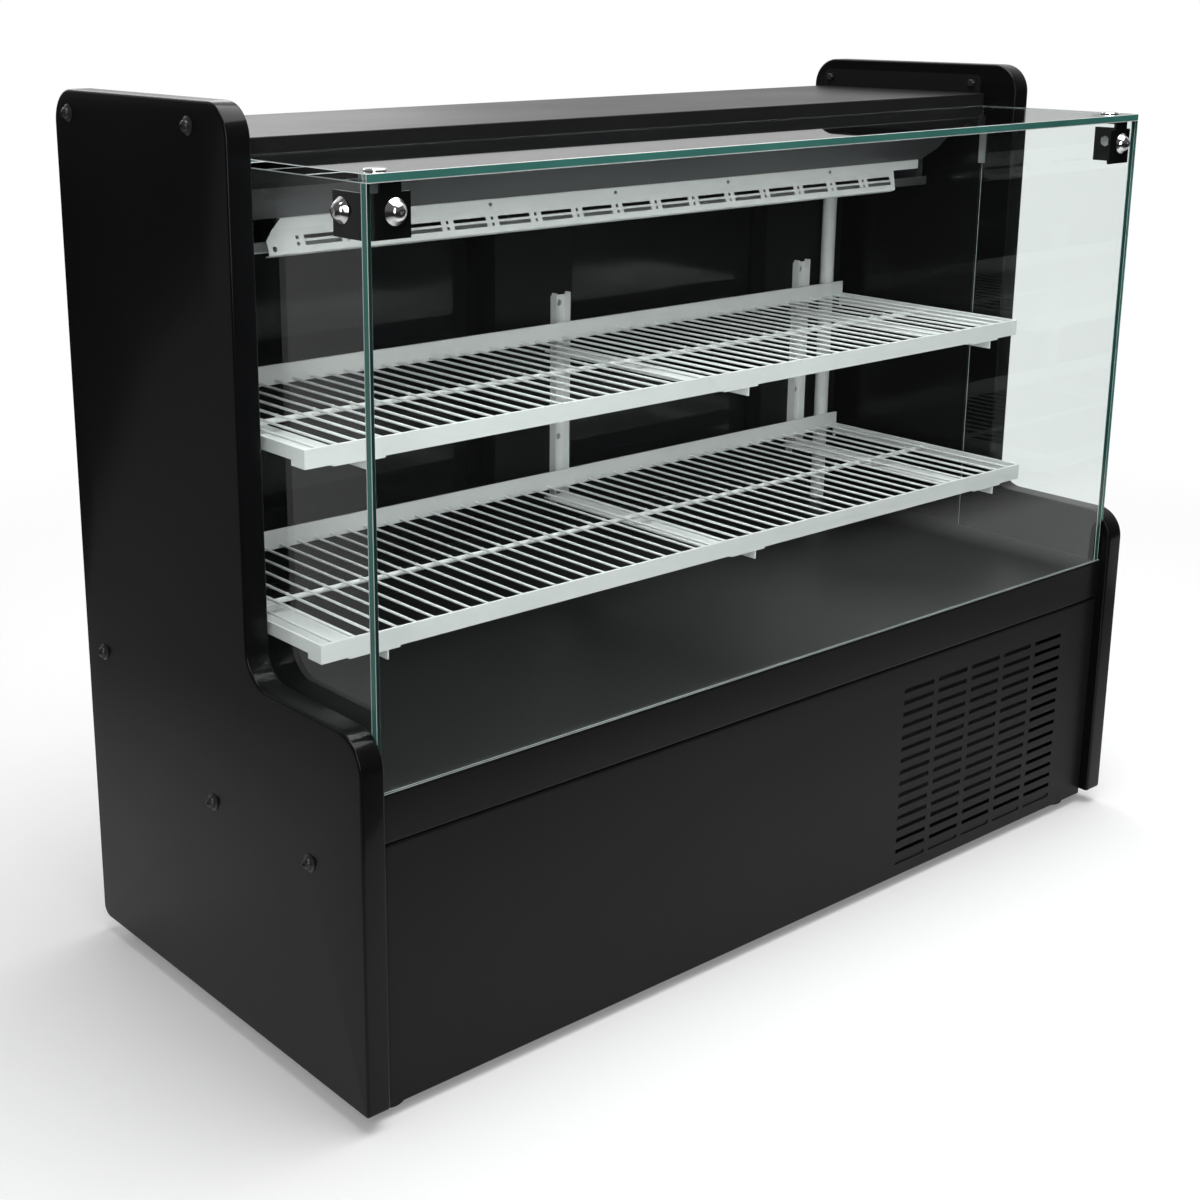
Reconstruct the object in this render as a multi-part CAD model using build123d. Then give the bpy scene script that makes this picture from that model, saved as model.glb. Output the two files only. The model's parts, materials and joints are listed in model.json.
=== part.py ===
from build123d import *
import math
import os

# Refrigerated display case: two stepped side panels carry a deck, a glass hood, an insulated rear
# wall with sliding doors, a cooling unit under the top housing and a condensing unit in the base.
# Millimetres. X runs along the case, Y from its front to its rear, Z up from the floor.

# Overall sizes
CASE_WIDTH = 1250.0
CASE_DEPTH = 550.0
PANEL_HEIGHT = 978.0
PANEL_THICK = 28.0
PANEL_BOTTOM = 20.0
SHOULDER_HEIGHT = 402.0
SHOULDER_DEPTH = 198.0
SHOULDER_RADIUS = 38.0
STEP_RADIUS = 34.0
TOP_RADIUS = 36.0
TOE_RADIUS = 5.0
HEEL_RADIUS = 14.0
EDGE_ROUND = 3.0
INNER = CASE_WIDTH / 2 - PANEL_THICK
PANEL_TOP = PANEL_BOTTOM + PANEL_HEIGHT
SHOULDER_TOP = PANEL_BOTTOM + SHOULDER_HEIGHT

# Sheet metal
SHEET = 1.5
BEND = 3.0
SEAM_GAP = 2.0
BEARING_CLEAR = 0.05
SMALL_SIDES = 12
TUBE_SIDES = 8

# Base
BASE_BOTTOM = 14.0
FRONT_RECESS = 14.0
DECK_TOP = 354.0
DECK_FRONT = 12.0
LIP_HEIGHT = 52.0
LIP_RETURN = 12.0
DECK_FOAM = 38.0
TRAY_FLANGE = 30.0
REAR_PANEL_PLANE = CASE_DEPTH - 20.0
FOOT_RADIUS = 20.0
FOOT_INSET_X = 26.0
FOOT_INSET_Y = 46.0
STUD_RADIUS = 5.0
LIP_BOTTOM = DECK_TOP - LIP_HEIGHT
FOAM_BOTTOM = DECK_TOP - SHEET - DECK_FOAM
TRAY_FACE = BASE_BOTTOM + SHEET

# Vent grille in the front panel
GRILLE_COLUMNS = 5
GRILLE_ROWS = 16
GRILLE_SLOT_LENGTH = 57.0
GRILLE_SLOT_HEIGHT = 5.5
GRILLE_PITCH_X = 67.0
GRILLE_PITCH_Z = 15.4
GRILLE_CENTRE_X = INNER - 236.0
GRILLE_CENTRE_Z = 148.0

# Glass hood
GLASS = 8.0
HOOD_TOP = PANEL_TOP - 54.0
HOOD_FRONT = 12.0
SIDE_PANE_REAR = 246.0
GLASS_GAP = 0.3
PANE_TOP = HOOD_TOP - GLASS

# Rear wall and sliding doors
WALL_FRONT = CASE_DEPTH - 60.0
WALL_THICK = 28.0
WALL_REAR = WALL_FRONT + WALL_THICK
JAMB_WIDTH = 162.0
MULLION_WIDTH = 130.0
WALL_POCKET = 8.0
DOOR_SILL = 38.0
DOOR_HEAD = 19.0
DOOR_THICK = 9.0
DOOR_OVERLAP = 17.0
TRACK_WALL = 2.0
TRACK_CLEAR = 1.0
TRACK_LIP = 10.0

# Top housing and cooling unit
HOUSING_TOP = PANEL_TOP - 38.0
HOUSING_FRONT = 249.0
HOUSING_REAR = CASE_DEPTH - 16.0
FASCIA_HEIGHT = 46.0
END_FLANGE = 24.0
UNIT_FRONT = 318.0
UNIT_REAR = WALL_FRONT - 2.0
UNIT_FLOOR = HOUSING_TOP - 126.0
UNIT_RIGHT_END = INNER - 31.0
DRAIN_RADIUS = 10.0
DRAIN_AT = (INNER - 45.0, WALL_FRONT - 14.0)
PAN_HEIGHT = 46.0

# Air-outlet strip
STRIP_PLANE = 316.0
STRIP_TOP = HOUSING_TOP - 90.0
STRIP_BAND = 12.0
STRIP_FACE = 25.0
STRIP_LEAN = 10.0
STRIP_LEFT_END = 89.0 - INNER
STRIP_RIGHT_END = INNER - 104.0
BAND_RIGHT_END = INNER - 52.0
STRIP_CORNER = 10.0
STRIP_HOLE = 3.0
STRIP_SLOT_LENGTH = 47.0
STRIP_SLOT_HEIGHT = 4.5
STRIP_SQUARE = 4.0
STRIP_PITCH = 64.0
STRIP_ROW_PITCH = 7.0
STRIP_FIRST_SLOT = STRIP_LEFT_END + 70.0
STRIP_GROUPS = int((STRIP_RIGHT_END - STRIP_FIRST_SLOT) / STRIP_PITCH) + 1
RIVET_PITCH = 192.0

# Shelving
SHELF_END = INNER - 26.0
SHELF_REAR = WALL_FRONT - 26.0
LOWER_SHELF_FRONT = 136.0
UPPER_SHELF_FRONT = 156.0
LOWER_SHELF_BOTTOM = DECK_TOP + 94.0
UPPER_SHELF_BOTTOM = UNIT_FLOOR - 189.0
BAR_HEIGHT = 20.0
BAR_THICK = 3.0
END_BAR_HEIGHT = 14.0
UPSTAND = 24.0
WIRE = 4.0
WIRE_PITCH = 24.0
MID_ROD = 6.0
UPRIGHT_X = (92.0 - INNER, 40.0, INNER - 92.0)
UPRIGHT_WIDTH = 24.0
UPRIGHT_DEPTH = 12.0
UPRIGHT_BOTTOM = LOWER_SHELF_BOTTOM - 16.0
UPRIGHT_TOP = UPPER_SHELF_BOTTOM + 72.0
ARM_FLANGE = 42.0
ARM_DROP = 12.0
ARM_SHEET = 2.0
ARM_TAB = 15.0
RAIL_SHEET = 1.5
RAIL_SCREW = 2.2
RAIL_SCREW_GRIP = 12.0
RAIL_SCREW_Z = (UPRIGHT_BOTTOM + 14.0, LOWER_SHELF_BOTTOM + 76.0, UPRIGHT_TOP - 14.0)


def deep(distance):
    """Y of a point so far behind the side panels' front edge."""
    return distance - CASE_DEPTH / 2


def block(x0, x1, y0, y1, z0, z1):
    """A cuboid between two x, two depths and two heights."""
    size = Box(x1 - x0, y1 - y0, z1 - z0, align=(Align.MIN, Align.MIN, Align.MIN))
    return Pos(x0, deep(y0), z0) * size


def folded(points, x0, x1, thick=SHEET, bend=BEND, side=Side.LEFT):
    """A bent sheet: a path of (depth, height) points given its thickness and drawn along X."""
    path = FilletPolyline(*[(deep(y), z) for y, z in points], radius=bend)
    outline = make_face(offset(path, amount=thick, side=side))
    return Pos(x0, 0, 0) * extrude(Plane.YZ * outline, amount=x1 - x0)


def rod_x(radius, x0, x1, depth, z):
    """A round bar along X."""
    return Pos((x0 + x1) / 2, deep(depth), z) * Rot(0, 90, 0) * Cylinder(radius, abs(x1 - x0))


def rod_y(radius, x, y0, y1, z):
    """A round bar from front to rear."""
    return Pos(x, deep((y0 + y1) / 2), z) * Rot(90, 0, 0) * Cylinder(radius, y1 - y0)


def rod_z(radius, x, depth, z0, z1):
    """An upright round bar."""
    return Pos(x, deep(depth), (z0 + z1) / 2) * Cylinder(radius, z1 - z0)


def small_rod(radius, x, y0, y1, z, sides=SMALL_SIDES):
    """A thin bar from front to rear, drawn with flats."""
    return Pos(x, deep(y1), z) * extrude(Plane.XZ * RegularPolygon(radius, sides), amount=y1 - y0)


def save(name, *shapes):
    """Write one node's solids to its STEP file."""
    solids = [solid for shape in shapes for solid in shape.solids()]
    export_step(solids[0] if len(solids) == 1 else Compound(solids), f"parts/{name}.step")


# Side panels and their screws
SCREW_CLEAR = 0.3
THREAD_CLEAR = 0.01
SCREW_SHANK = 3.0
SCREW_HEAD = 6.5
SCREW_HEAD_HEIGHT = 4.5
SOCKET = 2.3
WASHER_RADIUS = 9.5
WASHER_HEIGHT = 2.5
NUT_RADIUS = 5.5
NUT_HEIGHT = 5.0
HOUSING_SCREW_Z = PANEL_TOP - 25.0
HOUSING_SCREWS = (HOUSING_FRONT + 19.0, CASE_DEPTH - 32.0)
WALL_SCREW = (WALL_FRONT + 18.0, DECK_TOP + 14.0)
BASE_SCREWS = ((92.0, 264.0), (276.0, 264.0))
PANEL_SCREWS = [(y, HOUSING_SCREW_Z) for y in HOUSING_SCREWS] + [WALL_SCREW] + list(BASE_SCREWS)


def side_panel(side):
    """A stepped board with rounded corners and softened edges, drilled for its five screws."""
    corners = [(0, PANEL_BOTTOM), (0, SHOULDER_TOP), (SHOULDER_DEPTH, SHOULDER_TOP),
               (SHOULDER_DEPTH, PANEL_TOP), (CASE_DEPTH, PANEL_TOP), (CASE_DEPTH, PANEL_BOTTOM)]
    radii = [TOE_RADIUS, SHOULDER_RADIUS, STEP_RADIUS, TOP_RADIUS, TOP_RADIUS, HEEL_RADIUS]
    outline = Polyline(*[(deep(y), z) for y, z in corners], close=True)
    face = make_face(outline)
    for (y, z), radius in zip(corners, radii):
        corner = face.vertices().sort_by_distance(Plane.YZ.origin + (deep(y), z, 0))[0]
        face = fillet(corner, radius)
    start = INNER if side > 0 else -INNER - PANEL_THICK
    board = Pos(start, 0, 0) * extrude(Plane.YZ * face, amount=PANEL_THICK)
    rims = board.faces().sort_by(Axis.X)
    board = fillet(rims[0].edges() + rims[-1].edges(), EDGE_ROUND)
    for y, z in PANEL_SCREWS:
        board -= rod_x(SCREW_SHANK + SCREW_CLEAR, start - 1, start + PANEL_THICK + 1, y, z)
    return board


def revolved_x(profile):
    """A turned piece whose axis is X, from (x, radius) points."""
    return revolve(make_face(Polyline(*profile, close=True)), Axis.X)


def panel_screw(length):
    """A button-head screw with a hexagon socket: its seat is at x=0 and its shank points to +X."""
    rise, r = SCREW_HEAD_HEIGHT, SCREW_HEAD
    head = revolved_x([(0, 0), (0, r), (-0.5 * rise, 0.88 * r), (-0.85 * rise, 0.62 * r), (-rise, 0.35 * r),
                       (-rise, 0)])
    socket = extrude(Plane.YZ * RegularPolygon(SOCKET, 6), amount=-2.5)
    head -= Pos(-rise + 2.5, 0, 0) * socket
    return head + extrude(Plane.YZ * RegularPolygon(SCREW_SHANK, SMALL_SIDES), amount=length)


def cup_washer():
    """A conical finishing washer whose seat is at x=0."""
    bore = SCREW_SHANK + SCREW_CLEAR
    profile = [(0, bore), (0, WASHER_RADIUS), (-0.8, WASHER_RADIUS),
               (-WASHER_HEIGHT, SCREW_HEAD + 0.6), (-WASHER_HEIGHT, bore)]
    return revolved_x(profile)


def dome_nut():
    """A capped hexagon nut whose seat is at x=0."""
    nut = extrude(Plane.YZ * RegularPolygon(NUT_RADIUS, 6), amount=NUT_HEIGHT)
    nut = chamfer(nut.faces().sort_by(Axis.X)[-1].edges(), 1.2)
    thread = RegularPolygon(SCREW_SHANK + THREAD_CLEAR, SMALL_SIDES)
    return nut - extrude(Plane.YZ * thread, amount=0.7 * NUT_HEIGHT)


def panel_fasteners():
    """Screws, washers and inner nuts of both side panels."""
    grip = PANEL_THICK + SHEET
    screw = panel_screw(grip + WASHER_HEIGHT + 0.6 * NUT_HEIGHT)
    washer = cup_washer()
    nut = dome_nut()
    screws, washers, nuts = [], [], []
    for turn in (0, 180):
        outer = Rot(0, 0, turn) * Pos(-INNER - PANEL_THICK, 0, 0)
        for y, z in PANEL_SCREWS:
            place = Pos(0, deep(y), z) * outer
            screws.append(place * Pos(-WASHER_HEIGHT, 0, 0) * screw)
            washers.append(place * washer)
            nuts.append(place * Pos(grip, 0, 0) * nut)
    return screws, washers, nuts


# Base
def foot(x, depth):
    """A turned rubber foot with its stud through the tray."""
    profile = [(0, 0), (FOOT_RADIUS - 1.5, 0), (FOOT_RADIUS, 1.5), (FOOT_RADIUS - 3, BASE_BOTTOM),
               (STUD_RADIUS, BASE_BOTTOM), (STUD_RADIUS, BASE_BOTTOM + 12), (0, BASE_BOTTOM + 12)]
    turned = revolve(Plane.XZ * make_face(Polyline(*profile, close=True)), Axis.Z)
    return Pos(x, deep(depth), 0) * turned


FOOT_X = INNER - FOOT_INSET_X
FOOT_DEPTHS = (FOOT_INSET_Y, CASE_DEPTH - FOOT_INSET_Y)


def base_tray():
    """The tray that carries the condensing unit, with turned-up flanges and stud holes."""
    front = FRONT_RECESS + SHEET
    path = [(front, BASE_BOTTOM + TRAY_FLANGE), (front, BASE_BOTTOM),
            (REAR_PANEL_PLANE, BASE_BOTTOM), (REAR_PANEL_PLANE, BASE_BOTTOM + TRAY_FLANGE)]
    tray = folded(path, -INNER + SHEET, INNER - SHEET)
    for x in (-FOOT_X, FOOT_X):
        for y in FOOT_DEPTHS:
            tray -= rod_z(STUD_RADIUS + SCREW_CLEAR, x, y, BASE_BOTTOM - 1, BASE_BOTTOM + 4)
    return tray


def base_side(side):
    """The sheet that closes the machine space at one end and takes the base screws."""
    x0, x1 = (INNER - SHEET, INNER) if side > 0 else (-INNER, -INNER + SHEET)
    front = DECK_FRONT + LIP_RETURN + SEAM_GAP
    sheet = block(x0, x1, front, REAR_PANEL_PLANE, BASE_BOTTOM, FOAM_BOTTOM - BEND)
    for y, z in BASE_SCREWS:
        sheet -= rod_x(SCREW_SHANK + SCREW_CLEAR, x0 - 1, x1 + 1, y, z)
    return sheet


def front_panel():
    """The lower front panel, folded at its top edge, with the vent grille's rows of slots."""
    top = LIP_BOTTOM - SEAM_GAP
    plate = folded([(FRONT_RECESS, BASE_BOTTOM), (FRONT_RECESS, top), (FRONT_RECESS + 8, top)],
                   -INNER, INNER, side=Side.RIGHT)
    slots = GridLocations(GRILLE_PITCH_X, GRILLE_PITCH_Z, GRILLE_COLUMNS, GRILLE_ROWS) * Rectangle(
        GRILLE_SLOT_LENGTH, GRILLE_SLOT_HEIGHT)
    cutter = extrude(Plane.XZ * (Sketch() + slots), amount=4 * SHEET, both=True)
    return plate - Pos(GRILLE_CENTRE_X, deep(FRONT_RECESS), GRILLE_CENTRE_Z) * cutter


def deck():
    """The display floor: one sheet with a front lip that hangs over the front panel."""
    path = [(DECK_FRONT + LIP_RETURN, LIP_BOTTOM), (DECK_FRONT, LIP_BOTTOM), (DECK_FRONT, DECK_TOP),
            (WALL_REAR, DECK_TOP)]
    sheet = folded(path, -INNER, INNER, side=Side.RIGHT)
    return sheet - rod_z(DRAIN_RADIUS + SCREW_CLEAR, *DRAIN_AT, DECK_TOP - 5, DECK_TOP + 1)


def deck_foam():
    """The insulation slab under the deck sheet."""
    top = DECK_TOP - SHEET
    slab = block(-INNER, INNER, DECK_FRONT + LIP_RETURN + 4, WALL_REAR, FOAM_BOTTOM, top)
    return slab - rod_z(DRAIN_RADIUS + SCREW_CLEAR, *DRAIN_AT, FOAM_BOTTOM - 1, top + 1)


def build_base():
    """Everything below the display space apart from the machinery."""
    for side, hand in ((-1, "left"), (1, "right")):
        save(f"side_panel_{hand}", side_panel(side))
        save(f"base_side_{hand}", base_side(side))
    save("feet", *[foot(x, y) for x in (-FOOT_X, FOOT_X) for y in FOOT_DEPTHS])
    screws, washers, nuts = panel_fasteners()
    save("panel_screws", *screws)
    save("panel_washers", *washers)
    save("panel_nuts", *nuts)
    save("base_tray", base_tray())
    save("front_panel", front_panel())
    save("deck", deck())
    save("deck_foam", deck_foam())


# Rear wall and its sliding doors
OPENING_Z0 = DECK_TOP + DOOR_SILL
OPENING_Z1 = UNIT_FLOOR - DOOR_HEAD
OPENING_X = (MULLION_WIDTH / 2, INNER - JAMB_WIDTH)
DOOR_X = (OPENING_X[0] - DOOR_OVERLAP, OPENING_X[1] + DOOR_OVERLAP)
DOOR_TRAVEL = OPENING_X[1] - OPENING_X[0] + DOOR_OVERLAP
TRACK_PITCH = DOOR_THICK + 2 * TRACK_CLEAR + TRACK_WALL
TRACK_DEPTH = 2 * TRACK_PITCH + TRACK_WALL
TRACK_FLOOR = 3.0
TRACK_Z = {"bottom": OPENING_Z0 - 12.0, "top": OPENING_Z1 + 14.0}
DOOR_LIFT = 4.0
DOOR_GLIDE = 0.3
PULL_LENGTH = 110.0
PULL_WIDTH = 22.0
PULL_DEPTH = 5.5
PULL_INSET = 30.0


def rear_wall():
    """The foamed rear wall: sill, header, two jambs and a mullion butted round the door openings."""
    head = HOUSING_TOP - SHEET
    spans = [(-INNER, INNER, DECK_TOP, OPENING_Z0), (-INNER, INNER, OPENING_Z1, head),
             (-INNER, -OPENING_X[1], OPENING_Z0, OPENING_Z1), (OPENING_X[1], INNER, OPENING_Z0, OPENING_Z1),
             (-OPENING_X[0], OPENING_X[0], OPENING_Z0, OPENING_Z1)]
    holes = []
    for side in (-1, 1):
        seat = side * (INNER - SHEET)
        holes.append(rod_x(NUT_RADIUS + SCREW_CLEAR, side * (INNER - WALL_POCKET), seat, *WALL_SCREW))
        holes.append(rod_x(SCREW_SHANK + SCREW_CLEAR, seat, side * (INNER + 1), *WALL_SCREW))
    for x in UPRIGHT_X:
        for z in RAIL_SCREW_Z:
            holes.append(small_rod(RAIL_SCREW + THREAD_CLEAR, x, WALL_FRONT - 1,
                                   WALL_FRONT + RAIL_SCREW_GRIP, z))
    return [block(x0, x1, WALL_FRONT, WALL_REAR, z0, z1) - holes for x0, x1, z0, z1 in spans]


def track_profile(lips_up):
    """Outline of a twin-channel door track, in depth and height, with its floor at height 0."""
    outline = Sketch() + Pos(TRACK_DEPTH / 2, TRACK_FLOOR / 2) * Rectangle(TRACK_DEPTH, TRACK_FLOOR)
    for k in range(3):
        lip = Rectangle(TRACK_WALL, TRACK_LIP + TRACK_FLOOR)
        outline += Pos(k * TRACK_PITCH + TRACK_WALL / 2, (TRACK_LIP + TRACK_FLOOR) / 2) * lip
    return outline if lips_up else mirror(outline, Plane.XZ)


def door_track(place):
    """One extruded track along the rear face of the wall."""
    up = place == "bottom"
    profile = Plane.YZ * Pos(deep(WALL_REAR), TRACK_Z[place]) * track_profile(up)
    return Pos(-INNER, 0, 0) * extrude(profile, amount=2 * INNER)


def sliding_door(side):
    """A door panel with softened edges and a sunk finger pull beside its outer edge."""
    channel = 0 if side > 0 else 1
    front = WALL_REAR + TRACK_WALL + TRACK_CLEAR + channel * TRACK_PITCH
    z0 = TRACK_Z["bottom"] + TRACK_FLOOR + DOOR_GLIDE
    z1 = TRACK_Z["top"] - TRACK_FLOOR - DOOR_LIFT
    x0, x1 = sorted((side * DOOR_X[0], side * DOOR_X[1]))
    door = block(x0, x1, front, front + DOOR_THICK, z0, z1)
    door = chamfer(door.edges().filter_by(Axis.Z), 1.2)
    pull = extrude(Plane.XZ * SlotOverall(PULL_LENGTH, PULL_WIDTH, rotation=90), amount=-PULL_DEPTH)
    x = side * (DOOR_X[1] - PULL_INSET)
    return door - Pos(x, deep(front + DOOR_THICK - PULL_DEPTH), (z0 + z1) / 2) * pull


# Louvres and controls of the rear service panel
LOUVRE_ROWS = 12
LOUVRE_PITCH = 15.0
LOUVRE_LENGTH = 150.0
LOUVRE_HEIGHT = 5.0
LOUVRE_X = (-130.0, 60.0, 250.0)
LOUVRE_Z = 150.0
KNOB_X = 107.0 - INNER
ROCKER_X = 172.0 - INNER
CONTROL_Z = 262.0
CONTROL_BOX = (67.0 - INNER, 212.0 - INNER, REAR_PANEL_PLANE - 60.0, 222.0, 300.0)
SPINDLE = 4.0
KNOB_RADIUS = 15.0
KNOB_HEIGHT = 13.0
ROCKER_WIDTH = 13.0
ROCKER_HEIGHT = 24.0
ROCKER_PIN = 1.5
RUN = 0.4
GLAND_X = -300.0
GLAND_Z = 62.0
GLAND_RADIUS = 9.0


def rear_panel():
    """The service panel behind the machine space, with louvre slots and control openings."""
    plane = REAR_PANEL_PLANE + SHEET
    panel = folded([(plane, BASE_BOTTOM), (plane, FOAM_BOTTOM), (plane - 18, FOAM_BOTTOM)], -INNER, INNER)
    slots = GridLocations(1, LOUVRE_PITCH, 1, LOUVRE_ROWS) * Rectangle(LOUVRE_LENGTH, LOUVRE_HEIGHT)
    cutter = extrude(Plane.XZ * (Sketch() + slots), amount=4 * SHEET, both=True)
    for x in LOUVRE_X:
        panel -= Pos(x, deep(REAR_PANEL_PLANE), LOUVRE_Z) * cutter
    near, far = REAR_PANEL_PLANE - 5, REAR_PANEL_PLANE + 5
    panel -= rod_y(SPINDLE + RUN, KNOB_X, near, far, CONTROL_Z)
    panel -= rod_y(GLAND_RADIUS, GLAND_X, near, far, GLAND_Z)
    half = (ROCKER_WIDTH / 2 + 2, ROCKER_HEIGHT / 2 + 2)
    return panel - block(ROCKER_X - half[0], ROCKER_X + half[0], near, far,
                         CONTROL_Z - half[1], CONTROL_Z + half[1])


def control_box():
    """The box behind the panel that holds the thermostat and the switch."""
    x0, x1, front, z0, z1 = CONTROL_BOX
    rear = REAR_PANEL_PLANE
    box = block(x0, x1, front, rear, z0, z1)
    box -= block(ROCKER_X - ROCKER_WIDTH / 2 - 2, ROCKER_X + ROCKER_WIDTH / 2 + 2, rear - 26, rear + 1,
                 CONTROL_Z - ROCKER_HEIGHT / 2 - 2, CONTROL_Z + ROCKER_HEIGHT / 2 + 2)
    return box - rod_y(SPINDLE + BEARING_CLEAR, KNOB_X, rear - 14, rear + 1, CONTROL_Z)


def thermostat_knob():
    """A turned knob with a pointer groove on its spindle."""
    rear = REAR_PANEL_PLANE + SHEET + RUN
    knob = rod_y(KNOB_RADIUS, KNOB_X, rear, rear + KNOB_HEIGHT, CONTROL_Z)
    knob = chamfer(knob.edges().sort_by(Axis.Y)[-1], 1.5)
    for k in range(12):
        angle = math.radians(30 * k + 15)
        x = KNOB_X + (KNOB_RADIUS + 0.6) * math.cos(angle)
        z = CONTROL_Z + (KNOB_RADIUS + 0.6) * math.sin(angle)
        knob -= rod_y(1.6, x, rear + 3, rear + KNOB_HEIGHT + 1, z)
    knob -= block(KNOB_X - 0.7, KNOB_X + 0.7, rear + KNOB_HEIGHT - 1, rear + KNOB_HEIGHT + 1,
                  CONTROL_Z + 3, CONTROL_Z + KNOB_RADIUS + 1)
    return knob + rod_y(SPINDLE, KNOB_X, REAR_PANEL_PLANE - 13, rear, CONTROL_Z)


def power_rocker():
    """The rocker: a curved cap that turns about a pivot pin inside its frame."""
    pivot = REAR_PANEL_PLANE - 8
    z0, z1 = CONTROL_Z - ROCKER_HEIGHT / 2, CONTROL_Z + ROCKER_HEIGHT / 2
    cap = block(ROCKER_X - ROCKER_WIDTH / 2, ROCKER_X + ROCKER_WIDTH / 2, pivot, pivot + 12, z0, z1)
    dish = rod_x(2 * ROCKER_HEIGHT, ROCKER_X - ROCKER_WIDTH, ROCKER_X + ROCKER_WIDTH,
                 pivot + 10 + 2 * ROCKER_HEIGHT, CONTROL_Z)
    cap -= dish
    return cap + rod_x(ROCKER_PIN, ROCKER_X - ROCKER_WIDTH / 2 - 1.6, ROCKER_X + ROCKER_WIDTH / 2 + 1.6,
                       pivot, CONTROL_Z)


def rocker_frame():
    """The bezel round the rocker, with the two ears that carry its pin."""
    rear = REAR_PANEL_PLANE + SHEET
    w, h = ROCKER_WIDTH / 2, ROCKER_HEIGHT / 2
    bezel = block(ROCKER_X - w - 4, ROCKER_X + w + 4, rear, rear + 1.8, CONTROL_Z - h - 4, CONTROL_Z + h + 4)
    bezel += block(ROCKER_X - w - 1.8, ROCKER_X + w + 1.8, rear - 18, rear, CONTROL_Z - h - 1.8,
                   CONTROL_Z + h + 1.8)
    well = block(ROCKER_X - w - RUN, ROCKER_X + w + RUN, rear - 17, rear + 3, CONTROL_Z - h - 1.6,
                 CONTROL_Z + h + 1.6)
    pin = rod_x(ROCKER_PIN + BEARING_CLEAR, ROCKER_X - w - 2, ROCKER_X + w + 2, REAR_PANEL_PLANE - 8,
                CONTROL_Z)
    return bezel - well - pin


def cable_gland():
    """The inlet gland in the rear panel, open through its middle."""
    front, rear = REAR_PANEL_PLANE, REAR_PANEL_PLANE + SHEET
    body = rod_y(GLAND_RADIUS - 0.2, GLAND_X, front - 8, rear, GLAND_Z)
    collar = Pos(GLAND_X, deep(rear + 2.5), GLAND_Z) * Rot(90, 0, 0) * extrude(RegularPolygon(13, 6), 5)
    collar = Pos(0, 2.5, 0) * collar
    nose = rod_y(8.5, GLAND_X, rear + 5, rear + 12, GLAND_Z)
    return body + collar + nose - rod_y(4.2, GLAND_X, front - 10, rear + 20, GLAND_Z)


def build_rear():
    """Rear wall, doors, tracks and the service panel's controls."""
    save("rear_wall", *rear_wall())
    for place in TRACK_Z:
        save(f"door_track_{place}", door_track(place))
    for side, hand in ((-1, "left"), (1, "right")):
        save(f"rear_door_{hand}", sliding_door(side))
    save("rear_panel", rear_panel())
    save("control_box", control_box())
    save("thermostat_knob", thermostat_knob())
    save("power_rocker", power_rocker())
    save("rocker_frame", rocker_frame())
    save("cable_gland", cable_gland())


# Glass hood
BRACKET_THICK = 3.0
BRACKET_FRONT_LEG = 44.0
BRACKET_SIDE_LEG = 50.0
BRACKET_TOP = HOOD_TOP - 18.0
BRACKET_HEIGHT = 42.0
CAP_RADIUS = 12.5
CAP_HEIGHT = 9.0
CAP_HOLE = 5.0
CAP_X = INNER - 32.0
CAP_Y = 52.0
CAP_Z = HOOD_TOP - 35.0
DISC_RADIUS = 11.0
DISC_X = INNER - 27.0
DISC_Y = 36.0
CLIP_LENGTH = 56.0
CLIP_SIZE = 9.0


def glass_pane(x0, x1, y0, y1, z0, z1):
    """A pane with ground edges."""
    pane = block(x0, x1, y0, y1, z0, z1)
    return chamfer(pane.edges(), 0.5)


def glass_front():
    """The front pane with its two cap-screw holes."""
    pane = glass_pane(-INNER, INNER, HOOD_FRONT, HOOD_FRONT + GLASS, DECK_TOP, PANE_TOP)
    for x in (-CAP_X, CAP_X):
        pane -= rod_y(CAP_HOLE, x, HOOD_FRONT - 1, HOOD_FRONT + GLASS + 1, CAP_Z)
    return pane


def glass_side(side):
    """A side pane that stands on the deck against the side panel's inner face."""
    x0, x1 = (INNER - GLASS, INNER) if side > 0 else (-INNER, -INNER + GLASS)
    pane = glass_pane(x0, x1, HOOD_FRONT + GLASS, SIDE_PANE_REAR, DECK_TOP, PANE_TOP)
    return pane - rod_x(CAP_HOLE, x0 - 1, x1 + 1, CAP_Y, CAP_Z)


def glass_top():
    """The top pane, resting on the other three, with its two corner holes."""
    pane = glass_pane(-INNER, INNER, HOOD_FRONT, HOUSING_FRONT - GLASS_GAP, PANE_TOP, HOOD_TOP)
    for x in (-DISC_X, DISC_X):
        pane -= rod_z(CAP_HOLE, x, DISC_Y, PANE_TOP - 1, HOOD_TOP + 1)
    return pane


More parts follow.
